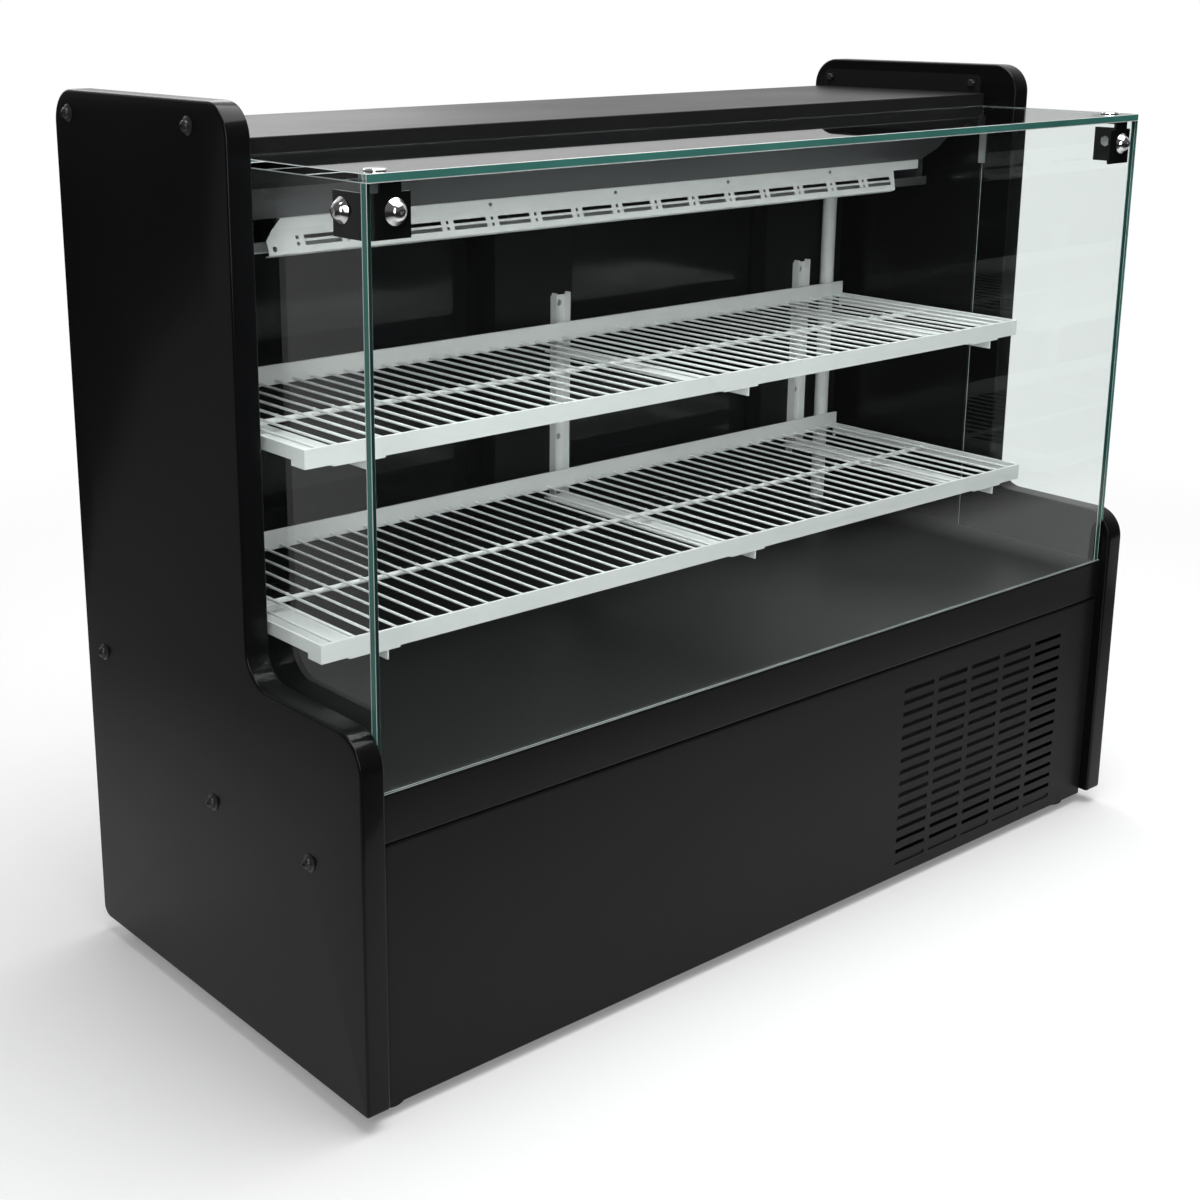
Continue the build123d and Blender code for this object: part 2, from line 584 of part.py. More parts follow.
def corner_bracket(side):
    """A folded corner bracket: a leg on the front pane, a leg on the side pane and a top tab."""
    inner, front = INNER - GLASS, HOOD_FRONT + GLASS
    path = FilletPolyline((inner, deep(front + BRACKET_SIDE_LEG)), (inner, deep(front)),
                          (inner - BRACKET_FRONT_LEG, deep(front)), radius=BRACKET_THICK + 1)
    outline = make_face(offset(path, amount=BRACKET_THICK, side=Side.RIGHT))
    plate = Pos(0, 0, BRACKET_TOP - BRACKET_HEIGHT) * extrude(outline, BRACKET_HEIGHT)
    tab = block(inner - 34, inner - 10, front, front + 32, PANE_TOP - BRACKET_THICK, PANE_TOP)
    riser = block(inner - 34, inner - 10, front, front + BRACKET_THICK, BRACKET_TOP, PANE_TOP)
    plate = plate + tab + riser
    plate -= rod_y(CAP_HOLE, CAP_X, front - 1, front + BRACKET_THICK + 1, CAP_Z)
    plate -= rod_x(CAP_HOLE, inner - BRACKET_THICK - 1, inner + 1, CAP_Y, CAP_Z)
    plate -= rod_z(3.2, DISC_X, DISC_Y, PANE_TOP - 5, PANE_TOP + 1)
    return plate if side > 0 else mirror(plate, Plane.YZ)


def cap_screw(grip):
    """A domed cap screw along +Z: its seat at z=0, its shank through the glass, its nut behind."""
    crown = make_face(Line((0, 0), (CAP_RADIUS, 0)) + ThreePointArc(
        (CAP_RADIUS, 0), (0.78 * CAP_RADIUS, -0.62 * CAP_HEIGHT), (0.3 * CAP_RADIUS, -CAP_HEIGHT))
        + Polyline((0.3 * CAP_RADIUS, -CAP_HEIGHT), (0, -CAP_HEIGHT), (0, 0)))
    cap = revolve(Plane.XZ * crown, Axis.Z)
    cap -= Pos(0, 0, -CAP_HEIGHT) * extrude(RegularPolygon(2.2, 6), 3)
    shank = Pos(0, 0, (grip + 3) / 2) * Cylinder(4, grip + 3)
    nut = Pos(0, 0, grip) * extrude(RegularPolygon(7, 6), 3.5)
    return cap + shank + nut


def cap_screws():
    """Cap screws through the front and side panes at both corners."""
    screw = cap_screw(GLASS + BRACKET_THICK)
    placed = []
    for side in (-1, 1):
        placed.append(Pos(side * CAP_X, deep(HOOD_FRONT), CAP_Z) * Rot(-90, 0, 0) * screw)
        placed.append(Pos(side * INNER, deep(CAP_Y), CAP_Z) * Rot(0, -side * 90, 0) * screw)
    return placed


def top_discs():
    """Flat-headed screws through the top pane into the bracket tabs."""
    disc = Cylinder(DISC_RADIUS, 2, align=(Align.CENTER, Align.CENTER, Align.MIN))
    disc = chamfer(disc.edges().sort_by(Axis.Z)[-1], 0.8)
    stem = GLASS + BRACKET_THICK
    disc += Pos(0, 0, -stem / 2) * Cylinder(3.1, stem)
    return [Pos(x, deep(DISC_Y), HOOD_TOP) * disc for x in (-DISC_X, DISC_X)]


def pane_clips():
    """Short angles on the side panels that stop the side panes' rear edges."""
    angle = make_face(Polyline((0, 0), (CLIP_SIZE, 0), (CLIP_SIZE, -CLIP_SIZE), (CLIP_SIZE + 1.5, -CLIP_SIZE),
                               (CLIP_SIZE + 1.5, 1.5), (0, 1.5), close=True))
    clip = extrude(angle, CLIP_LENGTH)
    right = Pos(INNER, deep(SIDE_PANE_REAR), PANE_TOP - 12 - CLIP_LENGTH) * mirror(clip, Plane.YZ)
    return [right, mirror(right, Plane.YZ)]


def build_hood():
    """Glass panes and what joins them."""
    save("glass_front", glass_front())
    save("glass_top", glass_top())
    for side, hand in ((-1, "left"), (1, "right")):
        save(f"glass_side_{hand}", glass_side(side))
        save(f"corner_bracket_{hand}", corner_bracket(side))
    save("glass_screws", *cap_screws(), *top_discs())
    save("pane_clips", *pane_clips())


# Top housing and cooling unit
RETURN = 5.0
COVER_RISE = 14.0
FLANGE_FRONT = HOUSING_FRONT + 6.0
FLANGE_REAR = HOUSING_REAR - 4.0
TRAY_LIP = 12.0
TRAY_REAR = 66.0
FAN_X = (-220.0, 220.0)
FAN_SIZE = 92.0
FAN_BORE = 42.0
FAN_FRONT = 334.0
FAN_DEPTH = 25.0
FAN_HUB = 15.0
HUB_DEPTH = 16.0
FAN_TIP = 39.0
FAN_SPINDLE = 3.0
COIL_HALF = INNER - 167.0
COIL_FRONT = 378.0
COIL_REAR = UNIT_REAR - 20.0
COIL_TOP = HOUSING_TOP - 30.0
COIL_SPAN = 25.0
COIL_LOOPS = 3
TUBE = 4.8
STRIP_BOTTOM = STRIP_TOP - STRIP_BAND - STRIP_FACE
STRIP_SHEET = 1.2
RIVET = 2.2
FAN_Z = UNIT_FLOOR + SHEET + FAN_SIZE / 2


def top_housing():
    """The upper sheet: a rear skirt, the top, a front fascia and an end flange at each panel."""
    top = HOUSING_TOP
    low = top - FASCIA_HEIGHT
    path = [(HOUSING_REAR, UNIT_FLOOR), (HOUSING_REAR, top), (HOUSING_FRONT, top), (HOUSING_FRONT, low),
            (HOUSING_FRONT + RETURN, low - RETURN)]
    sheet = folded(path, -INNER, INNER, bend=BEND / 2)
    for side in (-1, 1):
        x0, x1 = sorted((side * INNER, side * (INNER - SHEET)))
        flange = block(x0, x1, FLANGE_FRONT, FLANGE_REAR, top - SHEET, top + END_FLANGE)
        flange = fillet(flange.edges().filter_by(Axis.X).group_by(Axis.Z)[-1], 8)
        for y in HOUSING_SCREWS:
            flange -= rod_x(SCREW_SHANK + SCREW_CLEAR, x0 - 1, x1 + 1, y, HOUSING_SCREW_Z)
        sheet += flange
    return sheet


def evaporator_cover():
    """The sloping sheet from behind the fascia down to the air-outlet strip."""
    face = HOUSING_FRONT + SHEET
    bend_z = STRIP_TOP + STRIP_PLANE - face
    path = [(face, bend_z + COVER_RISE), (face, bend_z), (STRIP_PLANE, STRIP_TOP),
            (STRIP_PLANE + 12, STRIP_TOP)]
    sheet = folded(path, -INNER, UNIT_RIGHT_END)
    corner = extrude(Plane.XZ * make_face(Polyline(
        (UNIT_RIGHT_END + 1, STRIP_TOP - 1), (UNIT_RIGHT_END - 16, STRIP_TOP - 1),
        (UNIT_RIGHT_END + 1, STRIP_TOP + 16), close=True)), amount=CASE_DEPTH, both=True)
    return sheet - corner


def unit_end_plate():
    """The plate that closes the right end of the cooling unit."""
    low, high = UNIT_FLOOR + SHEET, HOUSING_TOP - SHEET
    front = HOUSING_FRONT + 2 * SHEET
    slope = high - (STRIP_TOP + STRIP_PLANE - front)
    rear = UNIT_REAR - SHEET
    points = [(front + 4, high), (front + 4, high - slope + 4), (STRIP_PLANE + 10, STRIP_TOP + 2),
              (STRIP_PLANE + 10, low), (rear - 2, low), (rear, low + 2), (rear, high)]
    face = make_face(Polyline(*[(deep(y), z) for y, z in points], close=True))
    return Pos(UNIT_RIGHT_END, 0, 0) * extrude(Plane.YZ * face, amount=SHEET)


def evaporator_tray():
    """The drip tray that carries the coil and the fans, with its drain hole."""
    path = [(UNIT_FRONT, UNIT_FLOOR + TRAY_LIP), (UNIT_FRONT, UNIT_FLOOR), (UNIT_REAR, UNIT_FLOOR),
            (UNIT_REAR, UNIT_FLOOR + TRAY_REAR)]
    tray = folded(path, -INNER, UNIT_RIGHT_END + SHEET)
    return tray - rod_z(DRAIN_RADIUS - 2, *DRAIN_AT, UNIT_FLOOR - 1, UNIT_FLOOR + 4)


def outlet_strip():
    """The perforated air-outlet strip: a plain band, a leaning face with two rows of slots and
    square holes, and a hooked lower edge."""
    z1 = STRIP_TOP - STRIP_BAND
    lean_y = STRIP_PLANE - STRIP_LEAN
    path = [(STRIP_PLANE + 10, STRIP_TOP), (STRIP_PLANE, STRIP_TOP), (STRIP_PLANE, z1),
            (lean_y, STRIP_BOTTOM), (lean_y + 8, STRIP_BOTTOM - 3)]
    strip = folded(path, STRIP_LEFT_END, BAND_RIGHT_END, thick=STRIP_SHEET, bend=1.6)
    middle = (deep(STRIP_PLANE - STRIP_LEAN / 2), z1 - STRIP_FACE / 2)
    face = Plane(origin=(0, *middle), x_dir=(1, 0, 0), z_dir=(0, -STRIP_FACE, STRIP_LEAN))
    holes = Sketch() + Pos(STRIP_LEFT_END + 8, -STRIP_ROW_PITCH) * RegularPolygon(STRIP_HOLE, SMALL_SIDES)
    for k in range(STRIP_GROUPS):
        x = STRIP_FIRST_SLOT + k * STRIP_PITCH
        for row in (-STRIP_ROW_PITCH / 2, STRIP_ROW_PITCH / 2):
            holes += Pos(x, row) * Rectangle(STRIP_SLOT_LENGTH, STRIP_SLOT_HEIGHT)
            holes += Pos(x - STRIP_PITCH / 2, row) * Rectangle(STRIP_SQUARE, STRIP_SQUARE)
    strip -= extrude(face * holes, amount=4, both=True)
    right = make_face(Polyline((STRIP_RIGHT_END, z1), (BAND_RIGHT_END + 1, z1),
                               (BAND_RIGHT_END + 1, STRIP_BOTTOM - 9), (STRIP_RIGHT_END - 9, STRIP_BOTTOM - 9),
                               close=True))
    left = make_face(Polyline((STRIP_LEFT_END, STRIP_TOP - STRIP_BAND - STRIP_CORNER),
                              (STRIP_LEFT_END + STRIP_BAND + STRIP_CORNER, STRIP_TOP + 1),
                              (STRIP_LEFT_END - 1, STRIP_TOP + 1), close=True))
    return strip - extrude(Plane.XZ * (Sketch() + [right, left]), amount=CASE_DEPTH, both=True)


def strip_rivets():
    """Flat rivets along the strip's plain band."""
    z = STRIP_TOP - STRIP_BAND / 2
    first = STRIP_FIRST_SLOT + STRIP_PITCH / 2
    count = int((BAND_RIGHT_END - first) / RIVET_PITCH) + 1
    return [small_rod(RIVET, first + k * RIVET_PITCH, STRIP_PLANE - 1.2, STRIP_PLANE, z) for k in range(count)]


def fan_blade(root, tip, chord, pitch, depth=1.4):
    """One lofted blade of a fan whose axis is Z, standing along +X."""
    stations = ((root, 0.62 * chord, pitch + 18), (tip, chord, pitch))
    sections = [Plane(origin=(r, 0, 0), x_dir=(0, 1, 0), z_dir=(1, 0, 0)) * Rot(0, 0, angle)
                * Rectangle(width, depth) for r, width, angle in stations]
    return loft(sections)


def fan_rotor(hub, tip, hub_depth, chord, pitch, count=5):
    """A hub with a tapered nose and lofted blades, its axis along Y."""
    body = Cylinder(hub, hub_depth)
    body = chamfer(body.edges().sort_by(Axis.Z)[-1], 0.2 * hub)
    blade = fan_blade(hub - 1, tip, chord, pitch)
    for k in range(count):
        body += Rot(0, 0, 360 * k / count) * blade
    return Rot(90, 0, 0) * body


def fan_frame(x):
    """The square fan frame with its round duct, corner holes, arms and motor seat."""
    half = FAN_SIZE / 2
    frame = block(x - half, x + half, FAN_FRONT, FAN_FRONT + FAN_DEPTH, FAN_Z - half, FAN_Z + half)
    frame = chamfer(frame.edges().filter_by(Axis.Y), 6)
    frame -= rod_y(FAN_BORE, x, FAN_FRONT - 1, FAN_FRONT + FAN_DEPTH + 1, FAN_Z)
    rear = FAN_FRONT + FAN_DEPTH
    arm = Box(2 * FAN_BORE + 2, 3, 5)
    for angle in (45, 135):
        frame += Pos(x, deep(rear - 1.5), FAN_Z) * Rot(0, angle, 0) * arm
    for dx in (-1, 1):
        for dz in (-1, 1):
            frame -= rod_y(2.2, x + dx * (half - 6), FAN_FRONT - 1, rear + 1, FAN_Z + dz * (half - 6))
    frame += rod_y(FAN_HUB, x, rear - 4, rear, FAN_Z)
    return frame - rod_y(FAN_SPINDLE + BEARING_CLEAR, x, rear - 5, rear + 1, FAN_Z)


def evaporator_rotor(x):
    """A small axial rotor whose spindle turns in its frame."""
    middle = FAN_FRONT + 2 + HUB_DEPTH / 2
    rotor = Pos(x, deep(middle), FAN_Z) * fan_rotor(FAN_HUB, FAN_TIP, HUB_DEPTH, 22, 32)
    return rotor + rod_y(FAN_SPINDLE, x, middle, FAN_FRONT + FAN_DEPTH - 1.5, FAN_Z)


def tube_loop(span, radius=TUBE):
    """A U-shaped return bend whose two ends lie span apart along Z and open to -X."""
    arc = CenterArc((0, 0, 0), span / 2, -90, 180)
    return sweep(Plane(arc @ 0, z_dir=arc % 0) * RegularPolygon(radius, TUBE_SIDES), path=arc)


def evaporator_coil():
    """The finned block between its end plates, with return bends at both ends."""
    low = UNIT_FLOOR + SHEET
    block_z0 = low + 5
    coil = block(-COIL_HALF, COIL_HALF, COIL_FRONT, COIL_REAR, block_z0, COIL_TOP)
    bend = tube_loop(COIL_SPAN)
    for side in (-1, 1):
        x0, x1 = sorted((side * COIL_HALF, side * (COIL_HALF + SHEET)))
        coil += block(x0, x1, COIL_FRONT - 4, COIL_REAR + 4, low, COIL_TOP + 4)
        for k in range(COIL_LOOPS):
            y = COIL_FRONT + (COIL_REAR - COIL_FRONT) * (k + 0.5) / COIL_LOOPS
            z = block_z0 + 22 + (COIL_SPAN if k % 2 else 0)
            turned = Rot(90, 0, 0) * bend if side > 0 else Rot(0, 0, 180) * Rot(90, 0, 0) * bend
            coil += Pos(side * (COIL_HALF + 1), deep(y), z) * turned
    return coil


def drain_tube():
    """The white tube from the drip tray through the deck, with a collar under the tray."""
    low = TRAY_FACE + PAN_HEIGHT - 12
    tube = rod_z(DRAIN_RADIUS, *DRAIN_AT, low, UNIT_FLOOR)
    tube += rod_z(DRAIN_RADIUS + 3, *DRAIN_AT, UNIT_FLOOR - 8, UNIT_FLOOR)
    return tube - rod_z(DRAIN_RADIUS - 2, *DRAIN_AT, low - 1, UNIT_FLOOR + 1)


def build_unit():
    """The top housing and the cooling unit beneath it."""
    save("top_housing", top_housing())
    save("evaporator_cover", evaporator_cover())
    save("unit_end_plate", unit_end_plate())
    save("evaporator_tray", evaporator_tray())
    save("outlet_strip", outlet_strip())
    save("strip_rivets", *strip_rivets())
    for x, hand in zip(FAN_X, ("left", "right")):
        save(f"fan_frame_{hand}", fan_frame(x))
        save(f"evaporator_fan_{hand}", evaporator_rotor(x))
    save("evaporator_coil", evaporator_coil())
    save("drain_tube", drain_tube())


# Shelving
CORNER_RADIUS = 12.0
WIRE_DROP = BAR_HEIGHT - WIRE / 2
SHELVES = {"lower": (LOWER_SHELF_FRONT, LOWER_SHELF_BOTTOM), "upper": (UPPER_SHELF_FRONT, UPPER_SHELF_BOTTOM)}
RAIL_GAP = 0.4


def shelf_frame(front, bottom):
    """A flat bar bent round the front and the ends, with the rear upstand and the two rods."""
    path = FilletPolyline((-SHELF_END, deep(SHELF_REAR)), (-SHELF_END, deep(front)),
                          (SHELF_END, deep(front)), (SHELF_END, deep(SHELF_REAR)), radius=CORNER_RADIUS)
    bar = extrude(make_face(offset(path, amount=BAR_THICK, side=Side.LEFT)), BAR_HEIGHT)
    bar -= block(-SHELF_END - 1, SHELF_END + 1, front + 2 * CORNER_RADIUS, SHELF_REAR + 1, -1,
                 BAR_HEIGHT - END_BAR_HEIGHT)
    frame = Pos(0, 0, bottom) * bar
    frame += block(-SHELF_END, SHELF_END, SHELF_REAR - BAR_THICK, SHELF_REAR, bottom,
                   bottom + BAR_HEIGHT + UPSTAND)
    rod_z_level = bottom + WIRE_DROP - (WIRE + MID_ROD) / 2
    inner = SHELF_END - BAR_THICK / 2
    return frame + rod_x(MID_ROD / 2, -inner, inner, (front + SHELF_REAR) / 2, rod_z_level)


def shelf_wires(front, bottom):
    """The shelf's parallel wires from the front bar to the upstand."""
    y0, y1 = front + BAR_THICK, SHELF_REAR - BAR_THICK
    count = int((2 * SHELF_END - 2 * WIRE_PITCH / 2) / WIRE_PITCH) + 1
    start = -(count - 1) * WIRE_PITCH / 2
    return [small_rod(WIRE / 2, start + k * WIRE_PITCH, y0, y1, bottom + WIRE_DROP, TUBE_SIDES)
            for k in range(count)]


def shelf_arm(x, front, bottom):
    """A folded bracket: its web hooks into the upright and its top flange carries the shelf."""
    web = x + UPRIGHT_WIDTH / 2 - RAIL_SHEET - RAIL_GAP
    flange_rear = WALL_FRONT - UPRIGHT_DEPTH - RAIL_GAP
    arm = block(web - ARM_FLANGE, web, front, flange_rear, bottom - ARM_SHEET, bottom)
    arm += block(web - ARM_SHEET, web, front, WALL_FRONT - RAIL_SHEET, bottom - ARM_DROP, bottom)
    return arm + block(web, web + ARM_TAB, front, front + 16, bottom - ARM_SHEET, bottom)


def upright(x):
    """A channel screwed to the rear wall, open towards the front."""
    half = UPRIGHT_WIDTH / 2
    front = WALL_FRONT - UPRIGHT_DEPTH
    rail = block(x - half, x + half, front, WALL_FRONT, UPRIGHT_BOTTOM, UPRIGHT_TOP)
    rail -= block(x - half + RAIL_SHEET, x + half - RAIL_SHEET, front - 1, WALL_FRONT - RAIL_SHEET,
                  UPRIGHT_BOTTOM - 1, UPRIGHT_TOP + 1)
    rail -= block(x - half - 1, x + half + 1, WALL_FRONT - RAIL_SHEET - 1, WALL_FRONT + 1, UPRIGHT_TOP - 4,
                  UPRIGHT_TOP + 1)
    for z in RAIL_SCREW_Z:
        rail -= small_rod(RAIL_SCREW + THREAD_CLEAR, x, WALL_FRONT - 3, WALL_FRONT + 1, z)
    return rail


def rail_screw(x, z):
    """A pan-head screw through an upright into the wall."""
    seat = WALL_FRONT - RAIL_SHEET
    head = small_rod(4.2, x, seat - 2.4, seat, z)
    head = chamfer(head.faces().sort_by(Axis.Y)[0].edges(), 0.8)
    return head + small_rod(RAIL_SCREW, x, seat, WALL_FRONT + RAIL_SCREW_GRIP - 1, z)


def build_shelving():
    """Uprights, arms and the two wire shelves."""
    save("shelf_uprights", *[upright(x) for x in UPRIGHT_X])
    save("upright_screws", *[rail_screw(x, z) for x in UPRIGHT_X for z in RAIL_SCREW_Z])
    for level, (front, bottom) in SHELVES.items():
        save(f"shelf_arms_{level}", *[shelf_arm(x, front, bottom) for x in UPRIGHT_X])
        save(f"shelf_frame_{level}", shelf_frame(front, bottom))
        save(f"shelf_wires_{level}", *shelf_wires(front, bottom))


# Condensing unit
UNIT_BASE = (INNER - 537.0, INNER - 67.0, 32.0, REAR_PANEL_PLANE - 14.0)
UNIT_BASE_SHEET = 2.0
UNIT_Z = TRAY_FACE + UNIT_BASE_SHEET
CONDENSER_X = (INNER - 382.0, INNER - 87.0)
CONDENSER_Y = (42.0, 80.0)
CONDENSER_TOP = 262.0
CONDENSER_LOOPS = 4
LOOP_PITCH = 52.0
LOOP_SPAN = 26.0
SHROUD_DEPTH = 22.0
SHROUD_BORE = 100.0
ROTOR_HUB = 28.0
ROTOR_TIP = 94.0
ROTOR_HUB_DEPTH = 26.0
MOTOR_RADIUS = 36.0
MOTOR_LENGTH = 58.0
SHAFT = 5.0
COMPRESSOR_AT = (INNER - 217.0, 350.0)
SHELL_RADIUS = 74.0
SHELL_TOP = 214.0
SHELL_FLOOR = UNIT_Z + 12
LINE = 4.0
LINE_X = INNER - 412.0
LINE_Z = 40.0
DRIER_RADIUS = 11.0
DRIER_SPAN = (252.0, 342.0)
PAN = (INNER - 63.0, INNER - 5.0, WALL_FRONT - 90.0, WALL_FRONT + 2.0)


def unit_base():
    """The plate that the condensing unit is bolted to."""
    x0, x1, y0, y1 = UNIT_BASE
    plate = block(x0, x1, y0, y1, TRAY_FACE, UNIT_Z)
    return fillet(plate.edges().filter_by(Axis.Z), 12)


def condenser():
    """The finned condenser block between folded end plates, with return bends at its right end."""
    (x0, x1), (y0, y1) = CONDENSER_X, CONDENSER_Y
    core = block(x0, x1, y0 + 2, y1 - 2, UNIT_Z + 12, CONDENSER_TOP - 4)
    for edge in (x0 - SHEET, x1):
        core += block(edge, edge + SHEET, y0, y1, UNIT_Z, CONDENSER_TOP)
    bend = Rot(90, 0, 0) * tube_loop(LOOP_SPAN)
    for k in range(CONDENSER_LOOPS):
        core += Pos(x1 + 1, deep((y0 + y1) / 2), UNIT_Z + 44 + LOOP_PITCH * k) * bend
    return core


def fan_centre():
    """X and height of the condenser fan's axis."""
    return (CONDENSER_X[0] + CONDENSER_X[1]) / 2, (UNIT_Z + CONDENSER_TOP) / 2


def fan_shroud():
    """The hood behind the condenser that narrows to the fan's round collar."""
    x, z = fan_centre()
    y0, y1 = CONDENSER_Y[1], CONDENSER_Y[1] + SHROUD_DEPTH
    x0, x1 = CONDENSER_X[0] - SHEET, CONDENSER_X[1] + SHEET
    hood = block(x0, x1, y0, y1, UNIT_Z, CONDENSER_TOP)
    hood -= block(x0 + SHEET, x1 - SHEET, y0 - 1, y1 - SHEET, UNIT_Z + SHEET, CONDENSER_TOP - SHEET)
    hood += rod_y(SHROUD_BORE + SHEET, x, y1 - SHEET, y1 + 12, z)
    return hood - rod_y(SHROUD_BORE, x, y1 - 3, y1 + 13, z)


def condenser_fan():
    """The large fan rotor with its shaft towards the motor."""
    x, z = fan_centre()
    y = CONDENSER_Y[1] + SHROUD_DEPTH + 4
    rotor = fan_rotor(ROTOR_HUB, ROTOR_TIP, ROTOR_HUB_DEPTH, 62, 26)
    rotor = Pos(x, deep(y), z) * rotor
    return rotor + rod_y(SHAFT, x, y, y + ROTOR_HUB_DEPTH / 2 + 14, z)


def fan_motor():
    """The motor behind the fan, on its stand."""
    x, z = fan_centre()
    front = CONDENSER_Y[1] + SHROUD_DEPTH + 4 + ROTOR_HUB_DEPTH / 2 + 6
    motor = rod_y(MOTOR_RADIUS, x, front, front + MOTOR_LENGTH, z)
    motor = chamfer(motor.edges().filter_by(GeomType.CIRCLE), 5)
    motor -= rod_y(SHAFT + BEARING_CLEAR, x, front - 1, front + 10, z)
    stand = block(x - 30, x + 30, front + 12, front + 15, UNIT_Z, z)
    stand += block(x - 30, x + 30, front + 12, front + 46, UNIT_Z, UNIT_Z + 3)
    return motor + stand


def rounded(radius, level, rise, turns):
    """Points of a turned shell's rounded rim: its radius, the level of its arc's centre, the arc's
    radius and the angles of its facets."""
    return [(radius - rise + rise * math.cos(math.radians(a)), level + rise * math.sin(math.radians(a)))
            for a in turns]


def compressor():
    """The welded compressor shell with its seam flange, mounting plate, bushes and terminal box."""
    x, y = COMPRESSOR_AT
    r, low, top = SHELL_RADIUS, SHELL_FLOOR, SHELL_TOP
    seam = low + 0.45 * (top - low)
    profile = [(0, low), *rounded(r, low + 14, 14, (-90, -60, -30, 0)), (r, seam), (r + 3, seam),
               (r + 3, seam + 4), (r, seam + 4), *rounded(r, top - 26, 26, (0, 25, 50, 75, 90)), (0, top)]
    outline = make_face(Polyline(*profile, close=True))
    shell = Pos(x, deep(y), 0) * revolve(Plane.XZ * outline, Axis.Z)
    plate = block(x - 100, x + 100, y - 62, y + 62, low - 1, low + 2)
    plate = chamfer(plate.edges().filter_by(Axis.Z), 20)
    for dx in (-84, 84):
        for dy in (-42, 42):
            plate += rod_z(9, x + dx, y + dy, UNIT_Z, low + 8)
    box = block(x - r - 26, x - r + 8, y - 28, y + 28, low + 30, low + 92)
    return shell + plate + chamfer(box.edges().filter_by(Axis.Y), 4)


def line_run(*points, radius=LINE):
    """A bent tube along straight runs with rounded corners."""
    path = FilletPolyline(*[(x, deep(y), z) for x, y, z in points], radius=12)
    return sweep(Plane(path @ 0, z_dir=path % 0) * RegularPolygon(radius, TUBE_SIDES), path=path)


def refrigerant_lines():
    """Discharge, liquid and suction lines, with the filter drier in the liquid line."""
    cx, cy = COMPRESSOR_AT
    face, mid = CONDENSER_X[1] + SHEET, (CONDENSER_Y[0] + CONDENSER_Y[1]) / 2
    left = CONDENSER_X[0] - SHEET
    high, rear = CONDENSER_TOP - 16, REAR_PANEL_PLANE - 30
    y0, y1 = DRIER_SPAN
    discharge = line_run((cx + 20, cy - 20, SHELL_TOP), (cx + 20, cy - 20, high), (face + 18, cy - 20, high),
                         (face + 18, mid, high), (face, mid, high))
    liquid = line_run((left, mid, LINE_Z), (LINE_X, mid, LINE_Z), (LINE_X, y0, LINE_Z))
    feed = line_run((LINE_X, y1, LINE_Z), (LINE_X, rear, LINE_Z), (LINE_X, rear, FOAM_BOTTOM))
    suction = line_run((LINE_X + 45, rear, FOAM_BOTTOM), (LINE_X + 45, rear, 150), (LINE_X + 45, cy + 10, 150),
                       (cx - SHELL_RADIUS, cy + 10, 150), radius=1.25 * LINE)
    drier = rod_y(DRIER_RADIUS, LINE_X, y0, y1, LINE_Z)
    drier = chamfer(drier.edges().filter_by(GeomType.CIRCLE), 5)
    return [discharge, liquid, feed, suction, drier]


def drip_pan():
    """The open pan on the base tray that the drain tube empties into."""
    x0, x1, y0, y1 = PAN
    pan = block(x0, x1, y0, y1, TRAY_FACE, TRAY_FACE + PAN_HEIGHT)
    pan = fillet(pan.edges().filter_by(Axis.Z), 8)
    hollow = block(x0 + 2, x1 - 2, y0 + 2, y1 - 2, TRAY_FACE + 2, TRAY_FACE + PAN_HEIGHT + 1)
    return pan - fillet(hollow.edges().filter_by(Axis.Z), 6)


def build_machinery():
    """The condensing unit behind the grille."""
    save("unit_base", unit_base())
    save("condenser", condenser())
    save("fan_shroud", fan_shroud())
    save("condenser_fan", condenser_fan())
    save("fan_motor", fan_motor())
    save("compressor", compressor())
    save("refrigerant_lines", *refrigerant_lines())
    save("drip_pan", drip_pan())


os.makedirs("parts", exist_ok=True)
build_base()
build_rear()
build_hood()
build_unit()
build_shelving()
build_machinery()
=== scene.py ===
import json
import math

import bmesh
import bpy
from mathutils import Matrix, Vector


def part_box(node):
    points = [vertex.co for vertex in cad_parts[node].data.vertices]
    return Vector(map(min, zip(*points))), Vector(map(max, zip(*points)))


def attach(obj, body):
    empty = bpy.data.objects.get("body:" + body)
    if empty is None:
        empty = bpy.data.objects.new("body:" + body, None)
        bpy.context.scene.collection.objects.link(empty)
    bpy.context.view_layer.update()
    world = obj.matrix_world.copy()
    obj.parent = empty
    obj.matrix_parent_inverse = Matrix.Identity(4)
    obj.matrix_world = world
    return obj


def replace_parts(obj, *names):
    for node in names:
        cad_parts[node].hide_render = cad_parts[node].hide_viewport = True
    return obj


bl_info = {
    "name": "Refrigerated display case",
    "version": (1, 0, 0),
    "blender": (4, 5, 0),
    "location": "3D View > Sidebar > Display Case",
    "description": "Dresses a refrigerated display case: paint, glass, wire shelves and the studio",
    "category": "Object",
}

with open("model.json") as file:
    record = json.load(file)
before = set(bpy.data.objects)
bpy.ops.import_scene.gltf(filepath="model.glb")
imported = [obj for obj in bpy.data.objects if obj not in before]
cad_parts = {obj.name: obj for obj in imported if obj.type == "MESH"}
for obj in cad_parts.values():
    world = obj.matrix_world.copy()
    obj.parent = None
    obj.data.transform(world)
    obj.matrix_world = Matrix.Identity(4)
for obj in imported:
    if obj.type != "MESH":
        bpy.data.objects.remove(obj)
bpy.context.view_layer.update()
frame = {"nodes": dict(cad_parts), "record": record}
NODES = frame["nodes"]
SLOT_OF = {part["node"]: part["material_slot"] for part in frame["record"]["subparts"]}
BODY_OF = {
    node: body for body, nodes in frame["record"]["behaviour"]["bodies"].items() for node in nodes
}


# Fixed sizes in metres, angles in degrees

